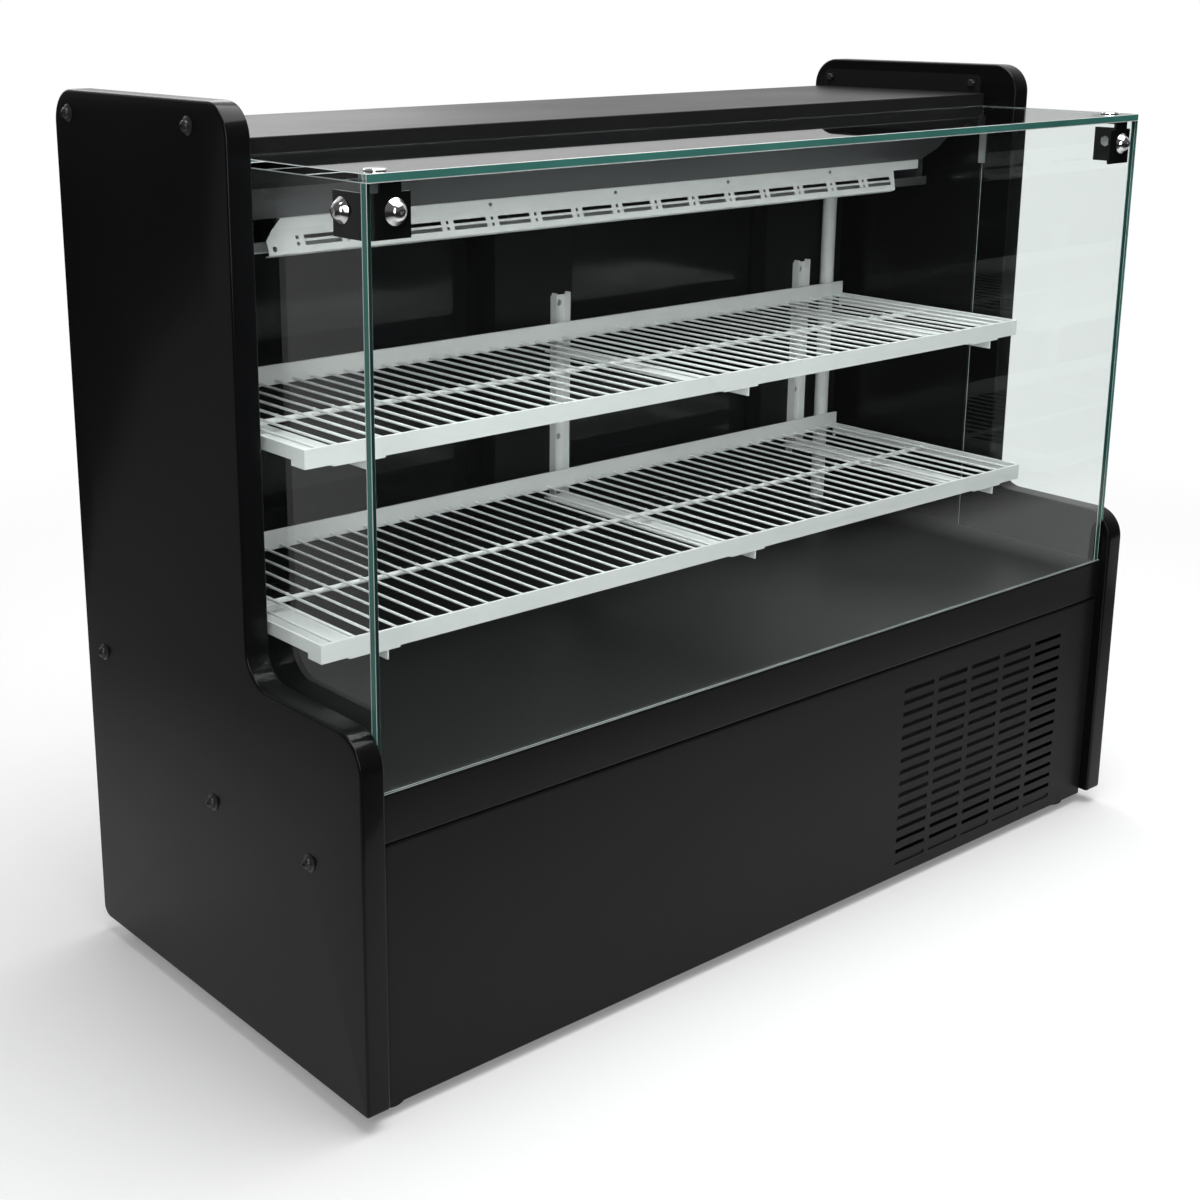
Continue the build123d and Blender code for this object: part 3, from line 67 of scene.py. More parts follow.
MERGED = 1e-6  # points this near each other are one
SLIVER = 1e-7  # edges this short are dissolved
TOUCHING = 1e-5  # a point nearer to a plane than this lies on it
OUTERMOST = 1e-4  # a cap this near the row's box looks out of that side
SHARP_ANGLE = 32
FACE_ON = 0.9  # a face looks along an axis from this cosine on

SHELF_CORNER = 0.012  # radius of the bar's front corners in the CAD
SHELF_BAR = 0.003  # thickness of the flat bar
SHELF_UPSTAND = 0.026  # from the wires to the upstand's top in the CAD
SHELF_UPSTAND_SEEN = 0.019  # the same in the photograph
WIRE_GAP = 0.004  # from the wires down to where the upstand is open
PAST = 0.01  # how far a cutter reaches past what it cuts
FAR_PAST = 1.0

CAP_RISE = 0.009  # the cap's height over its seat
CAP_SEAT = 0.0125  # the flange's radius
CAP_FLANGE = 0.0014  # the flange's thickness
CAP_DOME = 0.86  # the dome's share of the CAD's

PANE_ARRIS = 0.002
FOAM_SHEET = 0.0012
FIN_PITCH = 0.0022
WAVE_LENGTH = 0.314  # one band of a Wave texture at scale 1
SMEARS = (0.0, 0.012, 0.45, 0.8)  # roughness of the glass, by the noise
GLASS_SHADOW = (0.93, 0.96, 0.95, 1)

WIRE_SIDES = 14
BEAD_SEGMENTS = 8
BEAD_RINGS = 5

FLOOR_HALF = 30.0
FLOOR_WHITE = (0.80, 0.80, 0.80)
FLOOR_DIM = (0.42, 0.42, 0.42, 1)
FLOOR_ROUGHNESS = 0.9
FLOOR_GLOSS = 0.1
FLOOR_GLOW = 0.16
BACKDROP_WAY = (0.6, 0.8, 0.0)
SHEEN_WAY = (-0.8, 0.6, 0.0)
UNLIT = 0.02

# How light is spread: the value at the start and at the stop, then where these are
FLOOR_FADE = (0.0, 1.0, 0.9, 2.4)  # to plain white, by distance from the middle
BACKDROP_SIDE = (0.08, 1.0, 0.1, 0.75)  # by the cosine to BACKDROP_WAY
BACKDROP_RISE = (0.4, 1.0, 0.05, 0.2)  # by height
SHEEN_NEAR = (0.9, 0.0, 0.6, 1.9)  # by distance from the middle
SHEEN_AHEAD = (1.0, 0.0, -0.905, -0.89)  # along Y
SHEEN_LEFT = (1.0, 0.0, 0.6, 1.0)  # along X
SHEEN_KEPT = (1.0, 0.12, 0.0, 1.0)  # by how far ahead and left
SHEEN_RIGHT = (0.0, 0.2, 0.7, 1.2)  # along X
SHEEN_FAR_RIGHT = (0.0, 0.45, 1.5, 1.6)  # along X
SHEEN_BAND = (0.0, 1.0, -1.4, -1.2)  # along Y
SHEEN_BESIDE = (0.0, 0.28, 0.955, 0.965)  # by the cosine to SHEEN_WAY

CAMERA_PLACE = (-1.5389, -1.5969, 1.1018)
CAMERA_PAN = 38.985
CAMERA_TILT = -15.203
CAMERA_ROLL = -0.148
SENSOR = 36.0  # millimetres
FOCAL_PIXELS = 1852.1
AXIS_PIXEL = (489.5, 489.5)
FRAME_PIXELS = 1200

# Lamp: its power's name in the studio's sizes, width and height, place, target
LAMPS = {
    "overhead_lamp": ("overhead", (3.2, 2.4), (0.3, -0.4, 3.2), (0, 0, 0.4)),
    "side_lamp": ("side", (0.5, 2.6), (-2.6, -2.4, 1.7), (-0.2, 0, 0.5)),
    "rear_lamp": ("rear", (2.6, 1.4), (0.7, 3.2, 2.4), (0, 0.2, 0.5)),
}

SHELF_FRAMES = ("shelf_frame_lower", "shelf_frame_upper")
SHELF_WIRES = ("shelf_wires_lower", "shelf_wires_upper")
PANES = ("glass_front", "glass_side_left", "glass_side_right", "glass_top")
# the condenser's near-black fins and the deck's darker coat are painted shade
SPECIAL_FINISH = {"evaporator_coil": "fins", "condenser": "fins_painted_shade", "deck": "deck_painted_shade"}


# Sizes and colours that a user may change


class CaseFinishes(bpy.types.PropertyGroup):
    """Colours and gloss of the case's surfaces."""

    panel_black: bpy.props.FloatVectorProperty(
        name="Side panels", description="Lacquer of the two stepped side panels",
        subtype="COLOR", size=3, min=0, max=1, default=(0.0035, 0.0035, 0.004))
    cabinet_black: bpy.props.FloatVectorProperty(
        name="Sheet metal", description="Powder coat of the deck, the front panel and the top housing",
        subtype="COLOR", size=3, min=0, max=1, default=(0.011, 0.011, 0.0116))
    cover_grey: bpy.props.FloatVectorProperty(
        name="Cooling unit cover", description="Paint of the sloping sheet above the air-outlet strip",
        subtype="COLOR", size=3, min=0, max=1, default=(0.06, 0.06, 0.064))
    shelf_white: bpy.props.FloatVectorProperty(
        name="Shelves", description="Coating of the wire shelves, arms, uprights and air-outlet strip",
        subtype="COLOR", size=3, min=0, max=1, default=(0.86, 0.86, 0.85))
    glass_tint: bpy.props.FloatVectorProperty(
        name="Glass tint", description="Colour of the glass seen through its faces",
        subtype="COLOR", size=3, min=0, max=1, default=(0.94, 0.975, 0.965))
    glass_edge: bpy.props.FloatVectorProperty(
        name="Glass edges", description="Colour of the panes' ground edges",
        subtype="COLOR", size=3, min=0, max=1, default=(0.05, 0.19, 0.16))
    panel_gloss: bpy.props.FloatProperty(
        name="Panel roughness", description="Roughness of the side panels' lacquer",
        subtype="FACTOR", min=0.05, max=1, default=0.30)
    sheet_gloss: bpy.props.FloatProperty(
        name="Sheet roughness", description="Roughness of the powder-coated sheet metal",
        subtype="FACTOR", min=0.05, max=1, default=0.36)


class ShelfWires(bpy.types.PropertyGroup):
    """Sizes of the shelves' wires."""

    radius: bpy.props.FloatProperty(
        name="Wire radius", description="Radius of one shelf wire",
        subtype="DISTANCE", unit="LENGTH", min=0.0005, max=0.005, default=0.0015)
    pitch: bpy.props.FloatProperty(
        name="Wire pitch", description="Distance from one wire to the next",
        subtype="DISTANCE", unit="LENGTH", min=0.01, max=0.1, default=0.024)
    bead: bpy.props.FloatProperty(
        name="Weld bead", description="Radius of the bead where a wire meets a bar",
        subtype="DISTANCE", unit="LENGTH", min=0.0005, max=0.006, default=0.0021)


class StudioLight(bpy.types.PropertyGroup):
    """Level of the studio's lamps and surroundings."""

    surround: bpy.props.FloatProperty(
        name="Surroundings", description="Level of the plain light all round",
        min=0, max=2, default=0.2)
    overhead: bpy.props.FloatProperty(
        name="Overhead lamp", description="Power of the large lamp above the case, in watts",
        unit="POWER", min=0, max=1000, default=115)
    side: bpy.props.FloatProperty(
        name="Side lamp", description="Power of the tall lamp beyond the case's front left, in watts",
        unit="POWER", min=0, max=1000, default=36)
    rear: bpy.props.FloatProperty(
        name="Rear lamp", description="Power of the wide lamp behind the case, in watts",
        unit="POWER", min=0, max=1000, default=28)


GROUPS = {"case_finishes": CaseFinishes, "case_wires": ShelfWires, "case_light": StudioLight}


# Material building


def finish(name, colour, roughness, metallic=0.0, ior=1.5, coat=0.0):
    """A new material: its node tree, its surface shader and the object's own coordinates."""
    material = bpy.data.materials.new(name)
    material.use_nodes = True
    tree = material.node_tree
    shader = tree.nodes["Principled BSDF"]
    shader.inputs["Base Color"].default_value = (*colour, 1)
    shader.inputs["Roughness"].default_value = roughness
    shader.inputs["Metallic"].default_value = metallic
    shader.inputs["IOR"].default_value = ior
    shader.inputs["Coat Weight"].default_value = coat
    coords = tree.nodes.new("ShaderNodeTexCoord").outputs["Object"]
    return material, tree, shader, coords


def cloud(tree, coords, scale, detail, stretch=(1, 1, 1)):
    """A soft noise at the given scale, stretched along the object's axes."""
    mapping = tree.nodes.new("ShaderNodeMapping")
    mapping.inputs["Scale"].default_value = stretch
    noise = tree.nodes.new("ShaderNodeTexNoise")
    noise.inputs["Scale"].default_value = scale
    noise.inputs["Detail"].default_value = detail
    tree.links.new(coords, mapping.inputs["Vector"])
    tree.links.new(mapping.outputs["Vector"], noise.inputs["Vector"])
    return noise.outputs["Fac"]


def spread(tree, value, low, high, start=0.3, stop=0.7):
    """The value's middle range turned into low to high."""
    node = tree.nodes.new("ShaderNodeMapRange")
    node.inputs["From Min"].default_value = start
    node.inputs["From Max"].default_value = stop
    node.inputs["To Min"].default_value = low
    node.inputs["To Max"].default_value = high
    tree.links.new(value, node.inputs["Value"])
    return node.outputs["Result"]


def blend_colours(tree, factor, first, second):
    """A colour that runs from the first to the second by the factor."""
    node = tree.nodes.new("ShaderNodeMix")
    node.data_type = "RGBA"
    node.inputs["A"].default_value = (*first, 1)
    node.inputs["B"].default_value = (*second, 1)
    tree.links.new(factor, node.inputs["Factor"])
    return node.outputs["Result"]


def relief(tree, shader, height, strength, depth):
    """Fine relief on the surface."""
    node = tree.nodes.new("ShaderNodeBump")
    node.inputs["Strength"].default_value = strength
    node.inputs["Distance"].default_value = depth
    tree.links.new(height, node.inputs["Height"])
    tree.links.new(node.outputs["Normal"], shader.inputs["Normal"])


def lighter(colour, amount):
    """The colour made lighter by a factor."""
    return tuple(min(1.0, channel * amount) for channel in colour)


def roughen(tree, shader, pattern, low, high):
    """Let the surface's roughness follow a pattern."""
    tree.links.new(spread(tree, pattern, low, high), shader.inputs["Roughness"])


def colour_by(tree, shader, pattern, first, second):
    """Let the surface's colour follow a pattern."""
    tree.links.new(blend_colours(tree, pattern, first, second), shader.inputs["Base Color"])


def lacquer(name, colour, roughness, coat=0.25):
    """Smooth black lacquer: a very slight ripple and faint wiped patches."""
    material, tree, shader, coords = finish(name, colour, roughness, coat=coat)
    shader.inputs["Coat Roughness"].default_value = 0.10
    shader.inputs["Specular IOR Level"].default_value = 0.06
    patches = cloud(tree, coords, 5, 3)
    roughen(tree, shader, patches, roughness - 0.03, roughness + 0.05)
    colour_by(tree, shader, patches, colour, lighter(colour, 1.25))
    relief(tree, shader, cloud(tree, coords, 160, 1), 0.04, 0.0006)
    return material


def powder_coat(name, colour, roughness, grain=900, strength=0.08, sheen=0.5):
    """Powder coat: a fine pebbled grain over slow changes of gloss."""
    material, tree, shader, coords = finish(name, colour, roughness)
    shader.inputs["Specular IOR Level"].default_value = sheen
    patches = cloud(tree, coords, 4, 3)
    roughen(tree, shader, patches, roughness - 0.04, roughness + 0.05)
    colour_by(tree, shader, patches, colour, lighter(colour, 1.2))
    relief(tree, shader, cloud(tree, coords, grain, 2), strength, 0.0003)
    return material


def moulded(name, colour, roughness=0.45):
    """Moulded plastic with a light texture."""
    material, tree, shader, coords = finish(name, colour, roughness)
    grainy = cloud(tree, coords, 700, 2)
    roughen(tree, shader, grainy, roughness - 0.05, roughness + 0.08)
    colour_by(tree, shader, cloud(tree, coords, 20, 2), colour, lighter(colour, 1.3))
    relief(tree, shader, grainy, 0.1, 0.0002)
    return material


def bare_metal(name, colour, roughness, stretch=(1, 30, 30), scale=60):
    """Rolled or turned metal with fine lines along one way."""
    material, tree, shader, coords = finish(name, colour, roughness, metallic=1.0)
    lines = cloud(tree, coords, scale, 3, stretch)
    roughen(tree, shader, lines, roughness - 0.06, roughness + 0.1)
    colour_by(tree, shader, lines, lighter(colour, 0.86), colour)
    relief(tree, shader, lines, 0.05, 0.0002)
    return material


def spangle(name, colour):
    """Zinc-coated steel with its faint crystals."""
    material, tree, shader, coords = finish(name, colour, 0.4, metallic=1.0)
    cells = tree.nodes.new("ShaderNodeTexVoronoi")
    cells.inputs["Scale"].default_value = 90
    tree.links.new(coords, cells.inputs["Vector"])
    colour_by(tree, shader, cells.outputs["Color"], lighter(colour, 0.8), colour)
    tree.links.new(spread(tree, cells.outputs["Distance"], 0.32, 0.5, 0, 1), shader.inputs["Roughness"])
    return material


def finned(name, colour, metallic, roughness):
    """Thin fins set close side by side along X, the colour darkened between them as painted shade in the
    gaps.
    """
    material, tree, shader, coords = finish(name, colour, roughness, metallic)
    wave = tree.nodes.new("ShaderNodeTexWave")
    wave.bands_direction = "X"
    wave.inputs["Scale"].default_value = WAVE_LENGTH / FIN_PITCH
    tree.links.new(coords, wave.inputs["Vector"])
    # the colour falls to 0.08 of itself between the fins: painted shade in the gaps
    colour_by(tree, shader, wave.outputs["Fac"], lighter(colour, 0.08), colour)
    relief(tree, shader, wave.outputs["Fac"], 0.8, 0.001)
    return material


def rubber(name, colour):
    """Matt black rubber, slightly dusty."""
    material, tree, shader, coords = finish(name, colour, 0.75)
    dust = cloud(tree, coords, 60, 4)
    colour_by(tree, shader, dust, colour, lighter(colour, 2.0))
    relief(tree, shader, cloud(tree, coords, 500, 2), 0.2, 0.0003)
    return material


def foam(name, colour):
    """The cut face of rigid foam."""
    material, tree, shader, coords = finish(name, colour, 0.9)
    cells = cloud(tree, coords, 300, 4)
    colour_by(tree, shader, cells, lighter(colour, 0.85), colour)
    relief(tree, shader, cells, 0.5, 0.001)
    return material


def pane_glass(name, tint):
    """Clear glass with faint smears; lamps shine through it."""
    material, tree, shader, coords = finish(name, tint, 0.0, ior=1.45)
    shader.inputs["Transmission Weight"].default_value = 1.0
    smears = cloud(tree, coords, 9, 4, (1, 1, 3))
    tree.links.new(spread(tree, smears, *SMEARS), shader.inputs["Roughness"])
    clear = tree.nodes.new("ShaderNodeBsdfTransparent")
    clear.inputs["Color"].default_value = GLASS_SHADOW
    path = tree.nodes.new("ShaderNodeLightPath")
    surface = mixed(tree, path.outputs["Is Shadow Ray"], shader.outputs["BSDF"], clear.outputs["BSDF"])
    tree.links.new(surface, tree.nodes["Material Output"].inputs["Surface"])
    return material


def ground_edge(name, tint):
    """The ground edge of a glass pane, its colour uneven where light comes a long way through it."""
    material, tree, shader, coords = finish(name, tint, 0.22)
    colour_by(tree, shader, cloud(tree, coords, 6, 3), lighter(tint, 0.45), lighter(tint, 1.5))
    relief(tree, shader, cloud(tree, coords, 400, 2), 0.1, 0.0002)
    return material


def make_finishes(look):
    """Every finish of the case, by the record's material slot or its own name."""
    sheet_black = look.cabinet_black[:]
    return {
        "panel_black": lacquer("panel_lacquer", look.panel_black[:], look.panel_gloss),
        "cabinet_black": powder_coat("sheet_powder_coat", sheet_black, look.sheet_gloss, sheen=0.12),
        "foam": foam("rigid_foam", (0.62, 0.58, 0.45)),
        "cover_grey": powder_coat("cover_paint", look.cover_grey[:], 0.42),
        "door_black": lacquer("door_gloss", (0.010, 0.010, 0.011), 0.16, coat=0.8),
        "track_black": moulded("black_plastic", (0.016, 0.016, 0.017)),
        "foot_rubber": rubber("foot_rubber", (0.012, 0.012, 0.012)),
        "screw_black": powder_coat("black_screw", (0.02, 0.02, 0.021), 0.3, 1500, 0.05),
        "screw_steel": bare_metal("zinc_screw", (0.55, 0.55, 0.54), 0.35),
        "screw_chrome": bare_metal("polished_screw", (0.86, 0.86, 0.87), 0.12, (1, 1, 1), 30),
        "glass": pane_glass("clear_glass", look.glass_tint[:]),
        "glass_edge": ground_edge("ground_glass_edge", look.glass_edge[:]),
        # pale arrises: painted highlight along the panes' chamfers
        "glass_arris": ground_edge("glass_arris", (0.58, 0.63, 0.62)),
        # the deck takes the sheet-metal coat at 0.6 of its colour: painted shade
        "deck_painted_shade": powder_coat("deck_paint", lighter(sheet_black, 0.6), 0.32, sheen=0.14),
        "aluminium": bare_metal("mill_aluminium", (0.72, 0.73, 0.74), 0.34),
        "shelf_white": powder_coat("white_coating", look.shelf_white[:], 0.34, 1100, 0.05),
        "tube_white": moulded("white_plastic", (0.78, 0.78, 0.76), 0.35),
        "galvanised": spangle("zinc_sheet", (0.52, 0.53, 0.54)),
        "compressor_black": powder_coat("compressor_paint", (0.012, 0.012, 0.013), 0.35, 600, 0.15),
        "copper": bare_metal("copper_tube", (0.80, 0.42, 0.28), 0.28),
        "fins": finned("coil_fins", (0.72, 0.73, 0.74), 1.0, 0.38),
        # near-black condenser fins: painted shade, so that the grille's slots in front of them read dark
        "fins_painted_shade": finned("condenser_fins", (0.008, 0.008, 0.009), 0.0, 0.6),
    }


def dress(piece, node, material, slot=None):
    """Give a piece its finish and its body."""
    piece.data.materials.clear()
    piece.data.materials.append(material)
    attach(piece, BODY_OF[node])
    slot or SLOT_OF[node]
    return piece


def polished_copy(node, reshape=None):
    """A copy of a solid with its loose triangles joined and its round faces shaded smooth."""
    source = NODES[node]
    mesh = source.data.copy()
    mesh.name = f"{node}_smooth"
    shell = bmesh.new()
    shell.from_mesh(mesh)
    bmesh.ops.remove_doubles(shell, verts=shell.verts, dist=MERGED)
    if reshape:
        reshape(shell, *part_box(node))
        bmesh.ops.remove_doubles(shell, verts=shell.verts, dist=MERGED)
    bmesh.ops.dissolve_degenerate(shell, edges=shell.edges, dist=SLIVER)
    shell.to_mesh(mesh)
    shell.free()
    if "custom_normal" in mesh.attributes:
        mesh.attributes.remove(mesh.attributes["custom_normal"])
    mesh.shade_smooth()
    mesh.set_sharp_from_angle(angle=math.radians(SHARP_ANGLE))
    piece = bpy.data.objects.new(f"{node}_smooth", mesh)
    bpy.context.scene.collection.objects.link(piece)
    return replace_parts(piece, node)


def square_corners(shell, low, high):
    """Turn the shelf bar's rounded front corners into the real one's mitred ones."""
    for point in shell.verts:
        across = abs(point.co.x) - (high.x - SHELF_CORNER)
        ahead = low.y + SHELF_CORNER - point.co.y
        if across > TOUCHING and ahead > TOUCHING:
            inset = 0 if math.hypot(across, ahead) > SHELF_CORNER - SHELF_BAR / 2 else SHELF_BAR
            point.co.x = math.copysign(high.x - inset, point.co.x)
            point.co.y = low.y + inset


def islands(shell):
    """The points of each separate solid in a mesh."""
    left = set(shell.verts)
    while left:
        found, waiting = set(), [left.pop()]
        while waiting:
            point = waiting.pop()
            found.add(point)
            for line in point.link_edges:
                other = line.other_vert(point)
                if other in left:
                    left.discard(other)
                    waiting.append(other)
        yield found


def flange_caps(shell, low, high):
    """Give the domed cap screws the real ones' thin flange round a smaller dome."""
    for solid in islands(shell):
        first = Vector([min(point.co[axis] for point in solid) for axis in range(3)])
        last = Vector([max(point.co[axis] for point in solid) for axis in range(3)])
        middle = (first + last) / 2
        if max(abs(first.x), abs(last.x)) > high.x - OUTERMOST:
            axis, outer = 0, math.copysign(high.x, middle.x)
        elif first.y < low.y + OUTERMOST:
            axis, outer = 1, low.y
        else:
            continue
        seat = outer - math.copysign(CAP_RISE, outer)
        for point in solid:
            risen = (point.co[axis] - seat) * math.copysign(1, outer)
            if risen <= TOUCHING:
                continue
            flat = point.co - middle
            flat[axis] = 0
            if flat.length < CAP_SEAT / 3:
                continue
            wanted = CAP_SEAT if risen < CAP_FLANGE else flat.length * CAP_DOME
            flat *= wanted / flat.length - 1
            point.co += flat


def less(piece, name, corners):
    """Cut a box out of a piece."""
    (x0, y0, z0), (x1, y1, z1) = corners
    block = bmesh.new()
    bmesh.ops.create_cube(block, size=1)
    size = Matrix.Diagonal((x1 - x0, y1 - y0, z1 - z0, 1))
    block.transform(Matrix.Translation(((x0 + x1) / 2, (y0 + y1) / 2, (z0 + z1) / 2)) @ size)
    mesh = bpy.data.meshes.new(name)
    block.to_mesh(mesh)
    block.free()
    cutter = bpy.data.objects.new(name, mesh)
    bpy.context.scene.collection.objects.link(cutter)
    cut = piece.modifiers.new(name, "BOOLEAN")
    cut.operation = "DIFFERENCE"
    cut.solver = "EXACT"
    cut.object = cutter
    graph = bpy.context.evaluated_depsgraph_get()
    shape = bpy.data.meshes.new_from_object(piece.evaluated_get(graph))
    piece.modifiers.remove(cut)
    piece.data = shape
    bpy.data.objects.remove(cutter)


def open_upstand(piece, node):
    """Trim the shelf's rear upstand: open below the wires and lower at the top, as the real one is."""
    low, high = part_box(node)
    end = high.x - SHELF_BAR
    front, rear = high.y - 2 * SHELF_BAR, high.y + PAST
    wire_level = high.z - SHELF_UPSTAND
    less(piece, "upstand_gap", ((-end, front, low.z - PAST), (end, rear, wire_level - WIRE_GAP)))
    less(piece, "upstand_top",
         ((-FAR_PAST, front, wire_level + SHELF_UPSTAND_SEEN), (FAR_PAST, rear, 2 * FAR_PAST)))


RESHAPED = {
    "shelf_frame_lower": square_corners,
    "shelf_frame_upper": square_corners,
    "glass_screws": flange_caps,
}


def edge_pane(piece, node, ground, arris):
    """A pane's ends and front edge show green, its arrises a pale painted highlight; its hidden edges
    stay clear.
    """
    low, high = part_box(node)
    thin = min(range(3), key=lambda axis: high[axis] - low[axis])
    piece.data.materials.append(ground)
    piece.data.materials.append(arris)
    for face in piece.data.polygons:
        normal = face.normal
        broad = abs(normal[thin]) > FACE_ON
        hidden = normal.y > FACE_ON or (thin == 2 and abs(normal.x) > FACE_ON)
        foot = thin == 0 and face.center.z < low.z + PANE_ARRIS
        if broad or hidden or foot:
            face.material_index = 0
        elif abs(normal.x) > FACE_ON or normal.y < -FACE_ON:
            face.material_index = 1
        else:
            face.material_index = 2


FINISHES = {}  # filled by case.finish_solids, for the steps after it


class CASE_OT_finish_solids(bpy.types.Operator):
    """Give every solid of the case its finish, with round faces shaded smooth."""

    bl_idname = "case.finish_solids"
    bl_label = "Finish the solids"

    def execute(self, context):
        FINISHES.update(make_finishes(context.scene.case_finishes))
        for node in sorted(NODES):
            if node in SHELF_WIRES:
                continue
            material = FINISHES[SPECIAL_FINISH.get(node, SLOT_OF[node])]
            piece = polished_copy(node, RESHAPED.get(node))
            if node in SHELF_FRAMES:
                open_upstand(piece, node)
            dress(piece, node, material)
            if node in PANES:
                edge_pane(piece, node, FINISHES["glass_edge"], FINISHES["glass_arris"])
        return {"FINISHED"}


# Shelf wires


def wire_tree(material):
    """A row of round wires along X, each from front to rear, with a bead where it meets each bar."""
    tree = bpy.data.node_groups.new("shelf_wire_row", "GeometryNodeTree")
    tree.is_modifier = True
    tree.interface.new_socket("Geometry", in_out="OUTPUT", socket_type="NodeSocketGeometry")
    sizes = {"Radius": 0.0015, "Pitch": 0.024, "Count": 47.0, "Left": 0.0, "Front": 0.0, "Rear": 0.3,
             "Middle": 0.15, "Level": 0.0, "Bead": 0.0021}
    for name, value in sizes.items():
        socket = tree.interface.new_socket(name, in_out="INPUT", socket_type="NodeSocketFloat")
        socket.default_value = value
    nodes, links = tree.nodes, tree.links
    given = nodes.new("NodeGroupInput")
    result = nodes.new("NodeGroupOutput")

    def place(x, y, z):
        point = nodes.new("ShaderNodeCombineXYZ")
        for socket, value in zip(point.inputs, (x, y, z)):
            if value is not None:
                links.new(value, socket)
        return point.outputs["Vector"]

    wire = nodes.new("GeometryNodeCurvePrimitiveLine")
    for end, depth in (("Start", "Front"), ("End", "Rear")):
        point = place(given.outputs["Left"], given.outputs[depth], given.outputs["Level"])
        links.new(point, wire.inputs[end])
    ring = nodes.new("GeometryNodeCurvePrimitiveCircle")
    ring.inputs["Resolution"].default_value = WIRE_SIDES
    links.new(given.outputs["Radius"], ring.inputs["Radius"])
    tube = nodes.new("GeometryNodeCurveToMesh")
    tube.inputs["Fill Caps"].default_value = True
    links.new(wire.outputs["Curve"], tube.inputs["Curve"])
    links.new(ring.outputs["Curve"], tube.inputs["Profile Curve"])
    joined = nodes.new("GeometryNodeJoinGeometry")
    links.new(tube.outputs["Mesh"], joined.inputs["Geometry"])
    for depth in ("Front", "Middle", "Rear"):
        bead = nodes.new("GeometryNodeMeshUVSphere")
        bead.inputs["Segments"].default_value = BEAD_SEGMENTS
        bead.inputs["Rings"].default_value = BEAD_RINGS
        links.new(given.outputs["Bead"], bead.inputs["Radius"])
        moved = nodes.new("GeometryNodeTransform")
        links.new(bead.outputs["Mesh"], moved.inputs["Geometry"])
        links.new(place(given.outputs["Left"], given.outputs[depth], given.outputs["Level"]),
                  moved.inputs["Translation"])
        links.new(moved.outputs["Geometry"], joined.inputs["Geometry"])
    row = nodes.new("GeometryNodeMeshLine")
    row.mode = "OFFSET"
    links.new(given.outputs["Count"], row.inputs["Count"])
    links.new(place(given.outputs["Pitch"], None, None), row.inputs["Offset"])
    copies = nodes.new("GeometryNodeInstanceOnPoints")
    links.new(row.outputs["Mesh"], copies.inputs["Points"])
    links.new(joined.outputs["Geometry"], copies.inputs["Instance"])
    real = nodes.new("GeometryNodeRealizeInstances")
    links.new(copies.outputs["Instances"], real.inputs["Geometry"])
    smooth = nodes.new("GeometryNodeSetShadeSmooth")
    links.new(real.outputs["Geometry"], smooth.inputs["Geometry"])
    coat = nodes.new("GeometryNodeSetMaterial")
    coat.inputs["Material"].default_value = material
    links.new(smooth.outputs["Geometry"], coat.inputs["Geometry"])
    links.new(coat.outputs["Geometry"], result.inputs["Geometry"])
    return tree


def grown(name, tree, sizes):
    """A plain mesh made by a node tree with the given sizes."""
    seed = bpy.data.objects.new(f"{name}_seed", bpy.data.meshes.new(f"{name}_seed"))
    bpy.context.scene.collection.objects.link(seed)
    modifier = seed.modifiers.new("shape", "NODES")
    modifier.node_group = tree
    for item in tree.interface.items_tree:
        if item.in_out == "INPUT" and item.name in sizes:
            modifier[item.identifier] = sizes[item.name]
    graph = bpy.context.evaluated_depsgraph_get()
    mesh = bpy.data.meshes.new_from_object(seed.evaluated_get(graph))
    mesh.name = name
    bpy.data.objects.remove(seed)
    piece = bpy.data.objects.new(name, mesh)
    bpy.context.scene.collection.objects.link(piece)
    return piece


class CASE_OT_foam_edge(bpy.types.Operator):
    """Cover the insulation's rear edge with its folded sheet."""

    bl_idname = "case.foam_edge"
    bl_label = "Cover the foam edge"

    def execute(self, context):
        low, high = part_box("deck_foam")
        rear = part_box("rear_panel")[1].y
        shell = bmesh.new()
        bmesh.ops.create_cube(shell, size=1)
        size = Vector((high.x - low.x, FOAM_SHEET, high.z - low.z))
        middle = Vector(((low.x + high.x) / 2, min(high.y + FOAM_SHEET / 2, rear), (low.z + high.z) / 2))
        shell.transform(Matrix.Translation(middle) @ Matrix.Diagonal((*size, 1)))
        bmesh.ops.bevel(shell, geom=shell.edges[:], offset=FOAM_SHEET / 4, segments=2, profile=0.5,
                        affect="EDGES")
        mesh = bpy.data.meshes.new("deck_foam_cover")
        shell.to_mesh(mesh)
        shell.free()
        piece = bpy.data.objects.new("deck_foam_cover", mesh)
        bpy.context.scene.collection.objects.link(piece)
        dress(piece, "deck_foam", FINISHES["cabinet_black"], "cabinet_black")
        return {"FINISHED"}


class CASE_OT_shelf_wires(bpy.types.Operator):
    """Make both shelves' rows of round wires with their weld beads."""

    bl_idname = "case.shelf_wires"
    bl_label = "Make the shelf wires"

    def execute(self, context):
        wires = context.scene.case_wires
        tree = wire_tree(FINISHES["shelf_white"])
        for node in SHELF_WIRES:
            low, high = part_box(node)
            count = round((high.x - low.x - 2 * wires.radius) / wires.pitch) + 1
            left = (low.x + high.x) / 2 - (count - 1) * wires.pitch / 2
            sizes = {"Radius": wires.radius, "Pitch": wires.pitch, "Count": float(count), "Left": left,
                     "Front": low.y, "Rear": high.y, "Middle": (low.y + high.y) / 2,
                     "Level": (low.z + high.z) / 2, "Bead": wires.bead}
            piece = grown(f"{node}_round", tree, sizes)
            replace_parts(piece, node)
            dress(piece, node, FINISHES["shelf_white"])
        return {"FINISHED"}


# Studio


